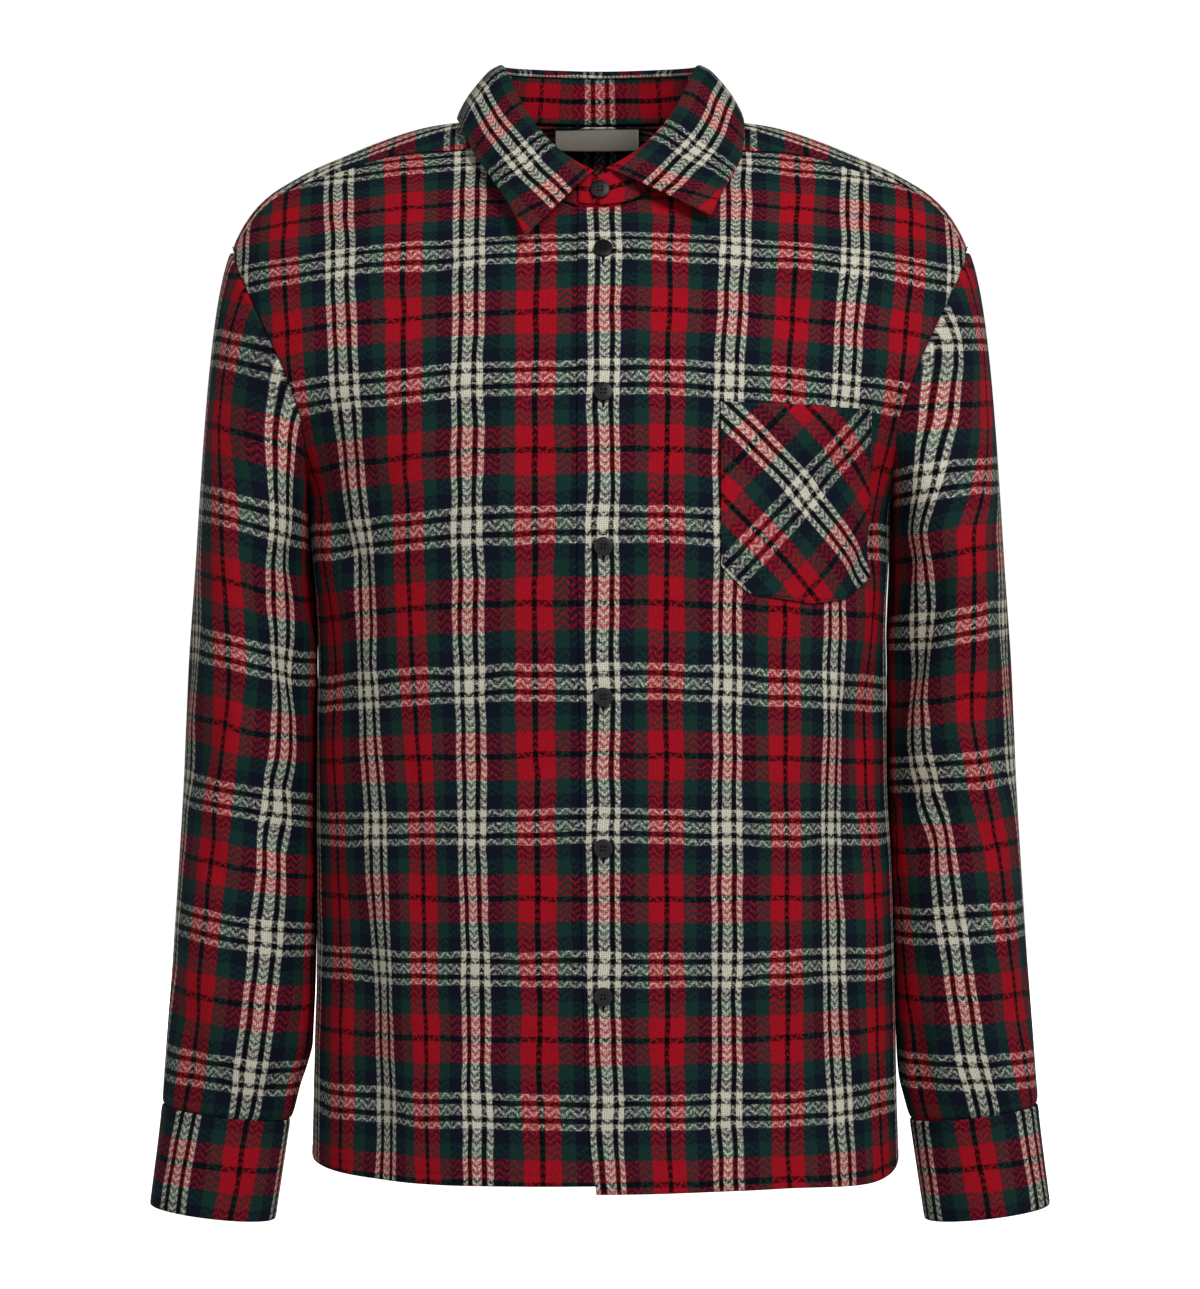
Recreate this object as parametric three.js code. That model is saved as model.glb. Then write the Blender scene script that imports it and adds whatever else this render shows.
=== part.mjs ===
// Long-sleeved check shirt, filled out and hollow as if worn, in millimetres.
// +Z is up, the front faces -Y and the wearer's left is +X. The origin is the middle of the neck base.
// Each cut and sewn piece is a closed cloth wall of its own, a seam gap away from its neighbours.
import * as THREE from "three";

// ---- Driving sizes ----
const WALL = 1.5; // one layer of brushed cloth with its nap
const FIRM_WALL = 2; // collar, stand and cuffs: two layers round an interlining
const SEAM_GAP = 0.3;
const LAID_GAP = 0.5; // what lies on a curved, faceted panel
const POCKET_GAP = 1.7; // the pocket spans the hollow of the chest's side
const BUTTON_STAND = 14; // the right front, underneath, passes the centre line by this much
const DEGREE = Math.PI / 180;

// The torso as level rings: half its width, how far it reaches forward and back of its middle,
// where that middle is, and the power of its rounding (2 is an ellipse, more is squarer).
// Above the armholes the width is that of the shoulders.
const TORSO = [
  { z: -690, halfWidth: 190.5, front: 129, back: 128, middleX: 3.5, middleY: 0, power: 2.35 },
  { z: -600, halfWidth: 188.5, front: 128, back: 127, middleX: 3.5, middleY: 0, power: 2.35 },
  { z: -480, halfWidth: 186.5, front: 129, back: 126, middleX: 2.5, middleY: 0, power: 2.35 },
  { z: -360, halfWidth: 185, front: 132, back: 128, middleX: 1.5, middleY: 0, power: 2.35 },
  { z: -275, halfWidth: 187, front: 134, back: 131, middleX: 0, middleY: 0, power: 2.35 },
  { z: -242, halfWidth: 191, front: 133, back: 132, middleX: 0, middleY: 0, power: 2.3 },
  { z: -228, halfWidth: 197, front: 131, back: 132, middleX: 0, middleY: 0, power: 2.25 },
  { z: -205, halfWidth: 215, front: 129, back: 132, middleX: 0, middleY: 0, power: 2.2 },
  { z: -178, halfWidth: 240, front: 125, back: 131, middleX: 0, middleY: 0, power: 2.1 },
  { z: -150, halfWidth: 251, front: 118, back: 129, middleX: 0, middleY: 0, power: 2.05 },
  { z: -125, halfWidth: 249, front: 110, back: 126, middleX: 0, middleY: 0, power: 2 },
  { z: -100, halfWidth: 246, front: 99, back: 122, middleX: 0, middleY: 0, power: 2 },
  { z: -80, halfWidth: 240, front: 89, back: 117, middleX: 0, middleY: 0, power: 2 },
  { z: -62, halfWidth: 231, front: 78, back: 111, middleX: 0, middleY: 1, power: 2 },
  { z: -50, halfWidth: 222, front: 71, back: 107, middleX: 0, middleY: 2, power: 2 },
  { z: -40, halfWidth: 210, front: 64, back: 103, middleX: 0, middleY: 3, power: 2 },
  { z: -29, halfWidth: 191, front: 57, back: 97, middleX: 0, middleY: 4, power: 2 },
  { z: -19, halfWidth: 168, front: 49, back: 91, middleX: 0, middleY: 5, power: 2 },
  { z: -8.5, halfWidth: 143, front: 43, back: 82, middleX: 0, middleY: 6, power: 2 },
  { z: 1, halfWidth: 112, front: 36, back: 69, middleX: 0, middleY: 7, power: 2 },
  { z: 5, halfWidth: 76, front: 26, back: 61, middleX: 0, middleY: 8, power: 2 },
  { z: 10, halfWidth: 45, front: 16, back: 54, middleX: 0, middleY: 8, power: 2 },
  { z: 14, halfWidth: 0, front: 0, back: 0, middleX: 0, middleY: 8, power: 2 },
];

// Each front's hem, and the back's, by the distance round the torso from the centre front.
const HEM_LEFT = [
  { round: 0, z: -674 },
  { round: 110, z: -675 },
  { round: 185, z: -679 },
  { round: 235, z: -674 },
  { round: 285, z: -665 },
];
const HEM_RIGHT = [
  { round: 0, z: -669 },
  { round: 130, z: -671 },
  { round: 235, z: -668 },
  { round: 285, z: -665 },
];
const HEM_BACK = [
  { round: 240, z: -665 },
  { round: 330, z: -670 },
  { round: 440, z: -671 },
  { round: 530, z: -668 },
];
const SIDE_HEM_Z = -665;

// How far the left front, on top, passes the centre line: its lower corner swings back.
const LEFT_EDGE = [
  { z: -674, past: 5 },
  { z: -610, past: 12 },
  { z: -500, past: 14 },
  { z: -62, past: 14 },
];

// The neck seam, turned from the centre back (0) past the shoulder's ridge (90) to the centre
// front (180).
const NECK = { halfWidth: 70, middleY: 8, backZ: 10, frontZ: -62 };

// The yoke's front seam: its drop below the ridge of the shoulder, by distance from the middle.
const YOKE_FRONT = [
  { x: 55, drop: 15 },
  { x: 70, drop: 19 },
  { x: 92, drop: 23 },
  { x: 133, drop: 17 },
  { x: 168, drop: 13 },
  { x: 195, drop: 9 },
  { x: 225, drop: 5 },
  { x: 240, drop: 3 },
];

// The armhole seam seen from the front.
const ARMHOLE = [
  { z: -242, x: 191 },
  { z: -228, x: 188 },
  { z: -205, x: 187.5 },
  { z: -178, x: 194 },
  { z: -150, x: 206 },
  { z: -124, x: 219 },
  { z: -100, x: 231 },
  { z: -80, x: 240 },
];
const ARMHOLE_TOP_Z = -80;
const ARMHOLE_LOW_Z = -242;
const ARMHOLE_POINT = 0.3; // 0 is round at its top and underarm, 1 comes to a point there
const ARMHOLE_BACK_OUT = 5; // the back of the armhole runs this much further out
const YOKE_FRONT_TURN = 12; // where the yoke's seams meet the armhole, in degrees from its top
const YOKE_BACK_TURN = 38;
const YOKE_STRAIGHT_X = 200; // from here outwards the front seam bends to the armhole

// The sleeve as rings: how far out its outer and inner sides lie, the middle and half of its depth,
// and how far it leans, in degrees.
const SLEEVE = [
  { z: -290, outer: 262, inner: 192, middleY: -2, halfDepth: 79, lean: 0 },
  { z: -360, outer: 267, inner: 191, middleY: -2, halfDepth: 70, lean: 1 },
  { z: -420, outer: 269.5, inner: 190.5, middleY: -2, halfDepth: 62, lean: 2 },
  { z: -476, outer: 272.5, inner: 191, middleY: -4, halfDepth: 57, lean: 4 },
  { z: -535, outer: 276, inner: 192.5, middleY: -7, halfDepth: 51, lean: 6 },
  { z: -600, outer: 280.5, inner: 195.5, middleY: -11, halfDepth: 43, lean: 7 },
  { z: -622, outer: 282, inner: 198, middleY: -12, halfDepth: 39, lean: 7 },
  { z: -637, outer: 283, inner: 200, middleY: -13, halfDepth: 35, lean: 7 },
  { z: -702, outer: 290.5, inner: 209.5, middleY: -16, halfDepth: 32, lean: 7 },
];
const SLEEVE_UP = [...SLEEVE].reverse();
const SLEEVE_CROWDING = 13; // degrees
const CAP_END_Z = -290;
const CUFF_TOP_Z = -637;
const CUFF_END_Z = -702;
const CUFF_LAP_TURN = 262; // where the cuff's top layer ends, at the back of the wrist
const CUFF_LAP = 36; // degrees of lap
const CUFF_LIFT = FIRM_WALL + 0.5; // the top layer over the one below it
const PLACKET = { length: 128, width: 24 };

// The collar: the stand's height and inward lean by the turn of the neck seam.
const STAND = [
  { turn: 0, height: 31, lean: 0.12 },
  { turn: 90, height: 31, lean: 0.12 },
  { turn: 120, height: 29, lean: 0.24 },
  { turn: 150, height: 28, lean: 0.25 },
  { turn: 165, height: 25, lean: 0.22 },
  { turn: 180, height: 19, lean: 0.2 },
];
const LEAF_TOP = FIRM_WALL + 2.5; // the leaf's fold rises this much over the stand
const LEAF_END_TURN = 177;
const LEAF_BULGE = 4;
const LEAF_ROLL = 3;
const LEAF_SHARES = [0, 0.1, 0.25, 0.45, 0.65, 0.83, 1];
// The leaf's free edge, from the wearer's right point round the back to the left point.
const LEAF_EDGE = [
  { turn: -177, x: -46.6, y: -104, z: -82.5 },
  { turn: -160, x: -55.6, y: -92, z: -64 },
  { turn: -140, x: -69, y: -74, z: -42 },
  { turn: -120, x: -80, y: -55, z: -25 },
  { turn: -100, x: -89, y: -34, z: -5 },
  { turn: -80, x: -93.5, y: 4, z: 6 },
  { turn: -60, x: -84, y: 38, z: 8.5 },
  { turn: -35, x: -55, y: 71, z: 7 },
  { turn: 0, x: 0, y: 87, z: 4 },
  { turn: 35, x: 55, y: 71, z: 7 },
  { turn: 60, x: 84, y: 38, z: 8.5 },
  { turn: 80, x: 93.5, y: 4, z: 6 },
  { turn: 100, x: 93, y: -32, z: -5 },
  { turn: 120, x: 91, y: -50, z: -24 },
  { turn: 140, x: 82, y: -68, z: -43 },
  { turn: 160, x: 76, y: -80, z: -54 },
  { turn: 177, x: 70, y: -91, z: -68 },
];

// The pocket on the left chest, seen from the front.
const POCKET_TOP = { inner: -186.5, outer: -189 };
const POCKET_LOW = [
  { x: 74, z: -288 },
  { x: 91, z: -305 },
  { x: 131, z: -311 },
  { x: 153, z: -308 },
  { x: 169, z: -294 },
];

// The buttons down the front.
const BUTTON_X = 2;
const BUTTON = { radius: 5.8, thick: 2.6, holeReach: 1.6, holeRadius: 0.8 };
const BUTTON_HEIGHTS = [-90, -181, -276, -368, -461, -552];
const LABEL = { halfWidth: 28, height: 12, thick: 1 };

// Soft folds as troughs: where each is deepest, its lean from upright in degrees, and its size.
const FRONT_FOLDS = [
  { x: -150, z: -300, lean: -14, length: 190, width: 20, depth: 5 },
  { x: 168, z: -400, lean: 6, length: 170, width: 16, depth: 5 },
  { x: -146, z: -590, lean: 3, length: 260, width: 17, depth: 7 },
  { x: 150, z: -520, lean: -3, length: 330, width: 18, depth: 6 },
  { x: -62, z: -600, lean: 4, length: 200, width: 22, depth: 3 },
  { x: 74, z: -610, lean: -5, length: 180, width: 24, depth: 3 },
  { x: 120, z: -118, lean: 52, length: 130, width: 15, depth: 3 },
  { x: -118, z: -112, lean: -50, length: 120, width: 15, depth: 3 },
];
const BACK_FOLDS = [
  { x: -150, z: -300, lean: -12, length: 180, width: 20, depth: 4 },
  { x: 152, z: -310, lean: 12, length: 190, width: 20, depth: 4 },
  { x: -104, z: -420, lean: 2, length: 520, width: 22, depth: 7 },
  { x: 96, z: -440, lean: -3, length: 480, width: 24, depth: 6 },
  { x: 6, z: -520, lean: 1, length: 360, width: 26, depth: 5 },
];
// On a sleeve x is the turn round it in degrees: 0 outer, 90 front, 180 inner, 270 back.
const SLEEVE_FOLDS = [
  { x: 128, z: -330, lean: 20, length: 150, width: 13, depth: 6 },
  { x: 62, z: -395, lean: -32, length: 110, width: 14, depth: 4 },
  { x: 112, z: -452, lean: 40, length: 100, width: 13, depth: 4 },
  { x: 250, z: -400, lean: -30, length: 130, width: 14, depth: 6 },
  { x: 300, z: -470, lean: 25, length: 110, width: 14, depth: 4 },
  { x: 58, z: -592, lean: 6, length: 90, width: 12, depth: 3.5 },
  { x: 140, z: -600, lean: -6, length: 80, width: 11, depth: 3.5 },
  { x: 232, z: -596, lean: 5, length: 84, width: 11, depth: 4 },
];

// ---- Small helpers ----
const mix = (a, b, t) => a + (b - a) * t;
const clamp = (t) => Math.min(1, Math.max(0, t));
const smooth = (t) => clamp(t) ** 2 * (3 - 2 * clamp(t));
const steps = (from, to, count) => Array.from({ length: count + 1 }, (_, i) => mix(from, to, i / count));

// Reads a column of a table between its rows, on a curve that never overshoots them.
function read(table, along, column, at) {
  const last = table.length - 1;
  const place = Math.min(table[last][along], Math.max(table[0][along], at));
  let i = 0;
  while (i < last - 1 && table[i + 1][along] < place) i += 1;
  const slope = (k) =>
    (table[k + 1][column] - table[k][column]) / (table[k + 1][along] - table[k][along]);
  const bend = (k) => {
    if (k === 0) return slope(0);
    if (k === last) return slope(last - 1);
    const before = slope(k - 1);
    const after = slope(k);
    return before * after <= 0 ? 0 : (2 * before * after) / (before + after);
  };
  const width = table[i + 1][along] - table[i][along];
  const t = (place - table[i][along]) / width;
  const straight = mix(table[i][column], table[i + 1][column], t * t * (3 - 2 * t));
  return straight + bend(i) * width * t * (1 - t) ** 2 - bend(i + 1) * width * t * t * (1 - t);
}

// A patch between four edges that meet at its corners, each a function giving [a, b]. It adds to
// the flat patch of its corners the bow of each edge, which dies out over the patch: that of the
// top from the row at fade upwards, and those of the sides the faster, the greater hold is.
function patch(edges, s, t, { fade = 0, hold = 1 } = {}) {
  const { left, right, low, top } = edges;
  const rise = fade ? smooth((t - fade) / (1 - fade)) : t;
  return [0, 1].map((k) => {
    const [west, east] = [mix(low(0)[k], top(0)[k], t), mix(low(1)[k], top(1)[k], t)];
    const topBow = top(s)[k] - mix(top(0)[k], top(1)[k], s);
    const lowBow = low(s)[k] - mix(low(0)[k], low(1)[k], s);
    const sideBow = (left(t)[k] - west) * (1 - s) ** hold + (right(t)[k] - east) * s ** hold;
    return mix(west, east, s) + sideBow + topBow * rise + lowBow * (1 - t);
  });
}

// ---- The torso's surface ----
const ring = (z) => ({
  halfWidth: read(TORSO, "z", "halfWidth", z),
  front: read(TORSO, "z", "front", z),
  back: read(TORSO, "z", "back", z),
  middleX: read(TORSO, "z", "middleX", z),
  middleY: read(TORSO, "z", "middleY", z),
  power: read(TORSO, "z", "power", z),
});

// The point of a ring at a turn in radians from the centre front, towards the wearer's left.
function onRing(r, turn, z) {
  const across = Math.sign(Math.sin(turn)) * Math.abs(Math.sin(turn)) ** (2 / r.power);
  const forward = Math.sign(Math.cos(turn)) * Math.abs(Math.cos(turn)) ** (2 / r.power);
  const reach = forward > 0 ? r.front : r.back;
  return new THREE.Vector3(r.middleX + r.halfWidth * across, r.middleY - reach * forward, z);
}

// The turn at which the ring is as far to the side as x, on the front or the back.
function turnAt(r, x, isBack) {
  const across = Math.max(-1, Math.min(1, (x - r.middleX) / r.halfWidth));
  const turn = Math.sign(across) * Math.asin(Math.abs(across) ** (r.power / 2));
  return isBack ? Math.PI - turn : turn;
}

const surfaceAt = (x, z, isBack = false) => {
  const r = ring(z);
  return onRing(r, turnAt(r, x, isBack), z);
};

// Distances round a ring from the centre front to the centre back on the wearer's left.
const GIRTH_STEPS = 72;
function girths(r) {
  const table = [0];
  let before = onRing(r, 0, 0);
  for (let i = 1; i <= GIRTH_STEPS; i += 1) {
    const next = onRing(r, (Math.PI * i) / GIRTH_STEPS, 0);
    table.push(table[i - 1] + next.distanceTo(before));
    before = next;
  }
  return table;
}

// Changes a turn into a distance round the ring, and back.
function roundFromTurn(r, turn) {
  const table = girths(r);
  const place = (Math.abs(turn) / Math.PI) * GIRTH_STEPS;
  const i = Math.min(GIRTH_STEPS - 1, Math.floor(place));
  return Math.sign(turn) * mix(table[i], table[i + 1], place - i);
}

function pointRound(distance, z) {
  const r = ring(z);
  const table = girths(r);
  const sought = Math.abs(distance);
  let i = 0;
  while (i < GIRTH_STEPS - 1 && table[i + 1] < sought) i += 1;
  const place = i + (sought - table[i]) / (table[i + 1] - table[i]);
  return onRing(r, Math.sign(distance) * (place / GIRTH_STEPS) * Math.PI, z);
}

const roundAt = (x, z, isBack = false) => {
  const r = ring(z);
  return roundFromTurn(r, turnAt(r, x, isBack));
};
const sideRound = (z) => roundFromTurn(ring(z), Math.PI / 2);

// The height of the shoulder's ridge at a distance from the middle.
function ridge(x) {
  let low = -150;
  let high = 14;
  for (let i = 0; i < 40; i += 1) {
    const z = (low + high) / 2;
    if (read(TORSO, "z", "halfWidth", z) > Math.abs(x)) low = z;
    else high = z;
  }
  return low;
}

// The walk over the shoulder at one x: the distance from the ridge, less than 0 on the front.
const WALK_STEPS = 60;
const WALK_DROP = 150;
function walk(x) {
  const top = ridge(x);
  const path = [];
  for (let k = -WALK_STEPS; k <= WALK_STEPS; k += 1) {
    path.push(surfaceAt(x, top - WALK_DROP * (k / WALK_STEPS) ** 2, k > 0));
  }
  const ways = [0];
  path.forEach((p, k) => k && ways.push(ways[k - 1] + p.distanceTo(path[k - 1])));
  const middle = ways[WALK_STEPS];
  return { top, path, ways: ways.map((w) => w - middle) };
}

function wayAt(x, z, isBack) {
  const { top, ways } = walk(x);
  const share = Math.sqrt(Math.max(0, top - z) / WALK_DROP);
  const place = WALK_STEPS * (1 + (isBack ? share : -share));
  const i = Math.min(2 * WALK_STEPS - 1, Math.floor(place));
  return mix(ways[i], ways[i + 1], place - i);
}

function overShoulder(x, way) {
  const { path, ways } = walk(x);
  let i = 0;
  while (i < ways.length - 2 && ways[i + 1] < way) i += 1;
  return path[i].clone().lerp(path[i + 1], (way - ways[i]) / (ways[i + 1] - ways[i]));
}

// ---- Seam lines on the torso ----
const NECK_SIDE_Z = ridge(NECK.halfWidth);

function neckAt(turn) {
  const sine = Math.sin(turn * DEGREE);
  const cosine = Math.cos(turn * DEGREE);
  if (cosine >= 0) {
    return { x: NECK.halfWidth * sine, z: mix(NECK_SIDE_Z, NECK.backZ, cosine ** 2), isBack: true };
  }
  const x = Math.sign(sine) * NECK.halfWidth * Math.abs(sine) ** 0.9;
  return { x, z: mix(NECK_SIDE_Z, NECK.frontZ, (-cosine) ** 1.6), isBack: false };
}

// The turn of the neck seam that lies this far past the centre front.
const turnPastCentre = (past) => 180 + Math.asin((past / NECK.halfWidth) ** (1 / 0.9)) / DEGREE;

// The armhole, turned from its top (0) by the front (90) to the underarm (180) and the back (270).
function armholeAt(turn) {
  const fromTop = turn > 180 ? 360 - turn : Math.abs(turn);
  const share = mix((1 - Math.cos(turn * DEGREE)) / 2, fromTop / 180, ARMHOLE_POINT);
  const z = mix(ARMHOLE_TOP_Z, ARMHOLE_LOW_Z, share);
  const isBack = turn > 180 || turn < 0;
  const out = isBack ? ARMHOLE_BACK_OUT * Math.sin(turn * DEGREE) ** 2 : 0;
  const x = Math.min(read(ARMHOLE, "z", "x", z) + out, read(TORSO, "z", "halfWidth", z));
  return { x, z, isBack };
}

const yokeFrontZ = (x) => ridge(x) - read(YOKE_FRONT, "x", "drop", Math.abs(x));

// The turn of the neck seam at which it meets the yoke's front seam.
function neckCorner() {
  let low = 90;
  let high = 150;
  for (let i = 0; i < 40; i += 1) {
    const turn = (low + high) / 2;
    const { x, z } = neckAt(turn);
    if (z > yokeFrontZ(x)) low = turn;
    else high = turn;
  }
  return low;
}
const NECK_CORNER = neckCorner();

// ---- Cloth walls ----
// Unit normals of a grid of points, rows upwards and columns so that they face out. At an edge
// the normal turns on as it does just inside it.
function normalsOf(grid, loops) {
  const rows = grid.length;
  const columns = grid[0].length;
  const between = (i, j) => {
    const row = grid[i];
    const east = loops ? row[(j + 1) % columns] : row[Math.min(columns - 1, j + 1)];
    const west = loops ? row[(j + columns - 1) % columns] : row[Math.max(0, j - 1)];
    const up = grid[Math.min(rows - 1, i + 1)][j];
    const down = grid[Math.max(0, i - 1)][j];
    return east.clone().sub(west).cross(up.clone().sub(down)).normalize();
  };
  const normals = grid.map((row, i) => row.map((_, j) => between(i, j)));
  const turnOn = (edge, inside) => edge.multiplyScalar(2).sub(inside).normalize();
  for (let j = 0; j < columns; j += 1) {
    turnOn(normals[0][j], normals[1][j]);
    turnOn(normals[rows - 1][j], normals[rows - 2][j]);
  }
  for (let i = 0; i < rows && !loops; i += 1) {
    turnOn(normals[i][0], normals[i][1]);
    turnOn(normals[i][columns - 1], normals[i][columns - 2]);
  }
  return normals;
}

const moved = (grid, amount, loops = false) => {
  const normals = normalsOf(grid, loops);
  return grid.map((row, i) =>
    row.map((p, j) => p.clone().addScaledVector(normals[i][j], amount(p, i, j))),
  );
};

// A closed wall behind a grid of outer points. A grid that loops is a tube open at both ends.
function wallOf(name, grid, thick, loops = false) {
  const rows = grid.length;
  const columns = grid[0].length;
  const inner = moved(grid, () => -thick, loops);
  const points = [...grid.flat(), ...inner.flat()];
  const faces = [];
  const outerAt = (i, j) => i * columns + (j % columns);
  const innerAt = (i, j) => rows * columns + outerAt(i, j);
  const quad = (a, b, c, d) => {
    const isShort = points[a].distanceTo(points[c]) <= points[b].distanceTo(points[d]);
    faces.push(...(isShort ? [a, b, c, a, c, d] : [b, c, d, b, d, a]));
  };
  const last = rows - 1;
  const spans = loops ? columns : columns - 1;
  for (let i = 0; i < last; i += 1) {
    for (let j = 0; j < spans; j += 1) {
      quad(outerAt(i, j), outerAt(i, j + 1), outerAt(i + 1, j + 1), outerAt(i + 1, j));
      quad(innerAt(i, j), innerAt(i + 1, j), innerAt(i + 1, j + 1), innerAt(i, j + 1));
    }
  }
  for (let j = 0; j < spans; j += 1) {
    quad(outerAt(0, j), innerAt(0, j), innerAt(0, j + 1), outerAt(0, j + 1));
    quad(outerAt(last, j), outerAt(last, j + 1), innerAt(last, j + 1), innerAt(last, j));
  }
  if (!loops) {
    for (let i = 0; i < last; i += 1) {
      quad(outerAt(i, 0), outerAt(i + 1, 0), innerAt(i + 1, 0), innerAt(i, 0));
      quad(outerAt(i, spans), innerAt(i, spans), innerAt(i + 1, spans), outerAt(i + 1, spans));
    }
  }
  return meshOf(name, points, faces);
}

function meshOf(name, points, faces) {
  const geometry = new THREE.BufferGeometry().setFromPoints(points);
  geometry.setIndex(faces);
  geometry.computeVertexNormals();
  const mesh = new THREE.Mesh(geometry, materialFor(name));
  mesh.name = name;
  return mesh;
}

function materialFor(name) {
  if (name.startsWith("button")) {
    return new THREE.MeshStandardMaterial({ color: 0x17181a, roughness: 0.35 });
  }
  const color = name === "neck_label" ? 0x9a958c : 0x8c1f2a;
  return new THREE.MeshStandardMaterial({ color, roughness: 0.95 });
}

// How deep the folds of a table are at a place.
function foldsAt(folds, x, z, unit = 1) {
  return folds.reduce((sum, fold) => {
    const sine = Math.sin(fold.lean * DEGREE);
    const cosine = Math.cos(fold.lean * DEGREE);
    const dx = (x - fold.x) * unit;
    const dz = z - fold.z;
    const across = (dx * cosine + dz * sine) / fold.width;
    const along = (dz * cosine - dx * sine) / (fold.length / 2);
    return sum + fold.depth * Math.exp(-across * across) * smooth(1.3 * (1 - Math.abs(along)));
  }, 0);
}

// ---- The pieces ----
// How far the left front stands off the torso's surface where it laps over the right one.
const lapLift = (x) => (WALL + SEAM_GAP) * smooth((70 - x) / 45);

// Rows and columns of a front: closer at the corners of its outline.
const NECK_SHARE = 0.36;
const SIDE_SHARE = 0.65;
const FRONT_ROWS = [
  ...steps(0, 0.5, 11),
  ...steps(0.5, SIDE_SHARE, 5).slice(1),
  ...steps(SIDE_SHARE, 1, 14).slice(1),
];
const FRONT_SEAM_COLUMNS = 10; // the same on the fronts and the yoke, so that they meet
const FRONT_COLUMNS = [
  ...steps(0, NECK_SHARE, 7),
  ...steps(NECK_SHARE, 1, FRONT_SEAM_COLUMNS).slice(1),
];
const BACK_COLUMNS = 22;
const SEAM = SEAM_GAP / 2;

// The yoke's front seam, which runs into the armhole near the tip of the shoulder.
function yokeFront(x) {
  const end = armholeAt(YOKE_FRONT_TURN);
  const share = smooth((x - YOKE_STRAIGHT_X) / (end.x - YOKE_STRAIGHT_X));
  return ridge(x) - mix(ridge(x) - yokeFrontZ(x), ridge(end.x) - end.z, share);
}

function frontEdges(hem, past) {
  const corner = neckAt(NECK_CORNER);
  const end = armholeAt(YOKE_FRONT_TURN);
  const sideHem = sideRound(SIDE_HEM_Z) - SEAM;
  const top = (s) => {
    if (s <= NECK_SHARE) {
      const start = turnPastCentre(past(NECK.frontZ));
      const { x, z } = neckAt(mix(start, NECK_CORNER, s / NECK_SHARE));
      return [roundAt(x, z), z];
    }
    const x = mix(corner.x, end.x, (s - NECK_SHARE) / (1 - NECK_SHARE));
    const z = yokeFront(x);
    return [Math.min(roundAt(x, z), sideRound(z)), z];
  };
  const right = (t) => {
    if (t <= SIDE_SHARE) {
      const z = mix(SIDE_HEM_Z, ARMHOLE_LOW_Z, t / SIDE_SHARE);
      return [sideRound(z) - SEAM, z];
    }
    const turn = mix(180, YOKE_FRONT_TURN, (t - SIDE_SHARE) / (1 - SIDE_SHARE));
    const { x, z } = armholeAt(turn);
    return [Math.min(roundAt(x, z), sideRound(z) - SEAM), z];
  };
  const low = (s) => {
    const round = mix(-past(hem[0].z), sideHem, s);
    return [round, read(hem, "round", "z", Math.max(0, round))];
  };
  const left = (t) => {
    const z = mix(low(0)[1], top(0)[1], t);
    return [-past(z), z];
  };
  return { left, right, low, top };
}

// Both fronts are drawn on the wearer's left; side is 1 for the left one and -1 for the right one.
function frontGrid(side) {
  const past = side > 0 ? (z) => read(LEFT_EDGE, "z", "past", z) : () => BUTTON_STAND;
  const edges = frontEdges(side > 0 ? HEM_LEFT : HEM_RIGHT, past);
  const columns = side > 0 ? FRONT_COLUMNS : [...FRONT_COLUMNS].reverse();
  const plain = FRONT_ROWS.map((t) =>
    columns.map((s) => {
      const [round, z] = patch(edges, s, t, { fade: SIDE_SHARE });
      return pointRound(side * round, z);
    }),
  );
  return moved(plain, (p) => (side > 0 ? lapLift(p.x) : 0) - foldsAt(FRONT_FOLDS, p.x, p.z));
}

const wholeRound = (z) => 2 * roundFromTurn(ring(z), Math.PI);

// The back, drawn from the wearer's left side seam round to the right one.
function backGrid() {
  const left = (t) => {
    if (t <= SIDE_SHARE) {
      const z = mix(SIDE_HEM_Z, ARMHOLE_LOW_Z, t / SIDE_SHARE);
      return [sideRound(z) + SEAM, z];
    }
    const turn = mix(180, 360 - YOKE_BACK_TURN, (t - SIDE_SHARE) / (1 - SIDE_SHARE));
    const { x, z } = armholeAt(turn);
    return [Math.max(roundAt(x, z, true), sideRound(z) + SEAM), z];
  };
  const right = (t) => [wholeRound(left(t)[1]) - left(t)[0], left(t)[1]];
  const across = (t, s) => mix(left(t)[0], right(t)[0], s);
  const low = (s) => {
    const half = wholeRound(SIDE_HEM_Z) / 2;
    return [across(0, s), read(HEM_BACK, "round", "z", half - Math.abs(across(0, s) - half))];
  };
  const top = (s) => [across(1, s), left(1)[1]];
  const rows = [...steps(0, SIDE_SHARE, 17), ...steps(SIDE_SHARE, 1, 9).slice(1)];
  const plain = rows.map((t) =>
    steps(0, 1, BACK_COLUMNS).map((s) => {
      const [round, z] = patch({ left, right, low, top }, s, t, { hold: 3 });
      const whole = wholeRound(z);
      return pointRound(round <= whole / 2 ? round : round - whole, z);
    }),
  );
  return moved(plain, (p) => -foldsAt(BACK_FOLDS, p.x, p.z));
}

// The yoke is a band bent round the neck: its rows run from the back seam and the armholes in to
// the neck seam, and its columns from the left front seam round the back to the right one.
const YOKE_BACK_SHARE = 0.7; // of the way from its middle, where the back seam meets the armhole
const YOKE_RIDGE_TURN = 80;

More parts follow.
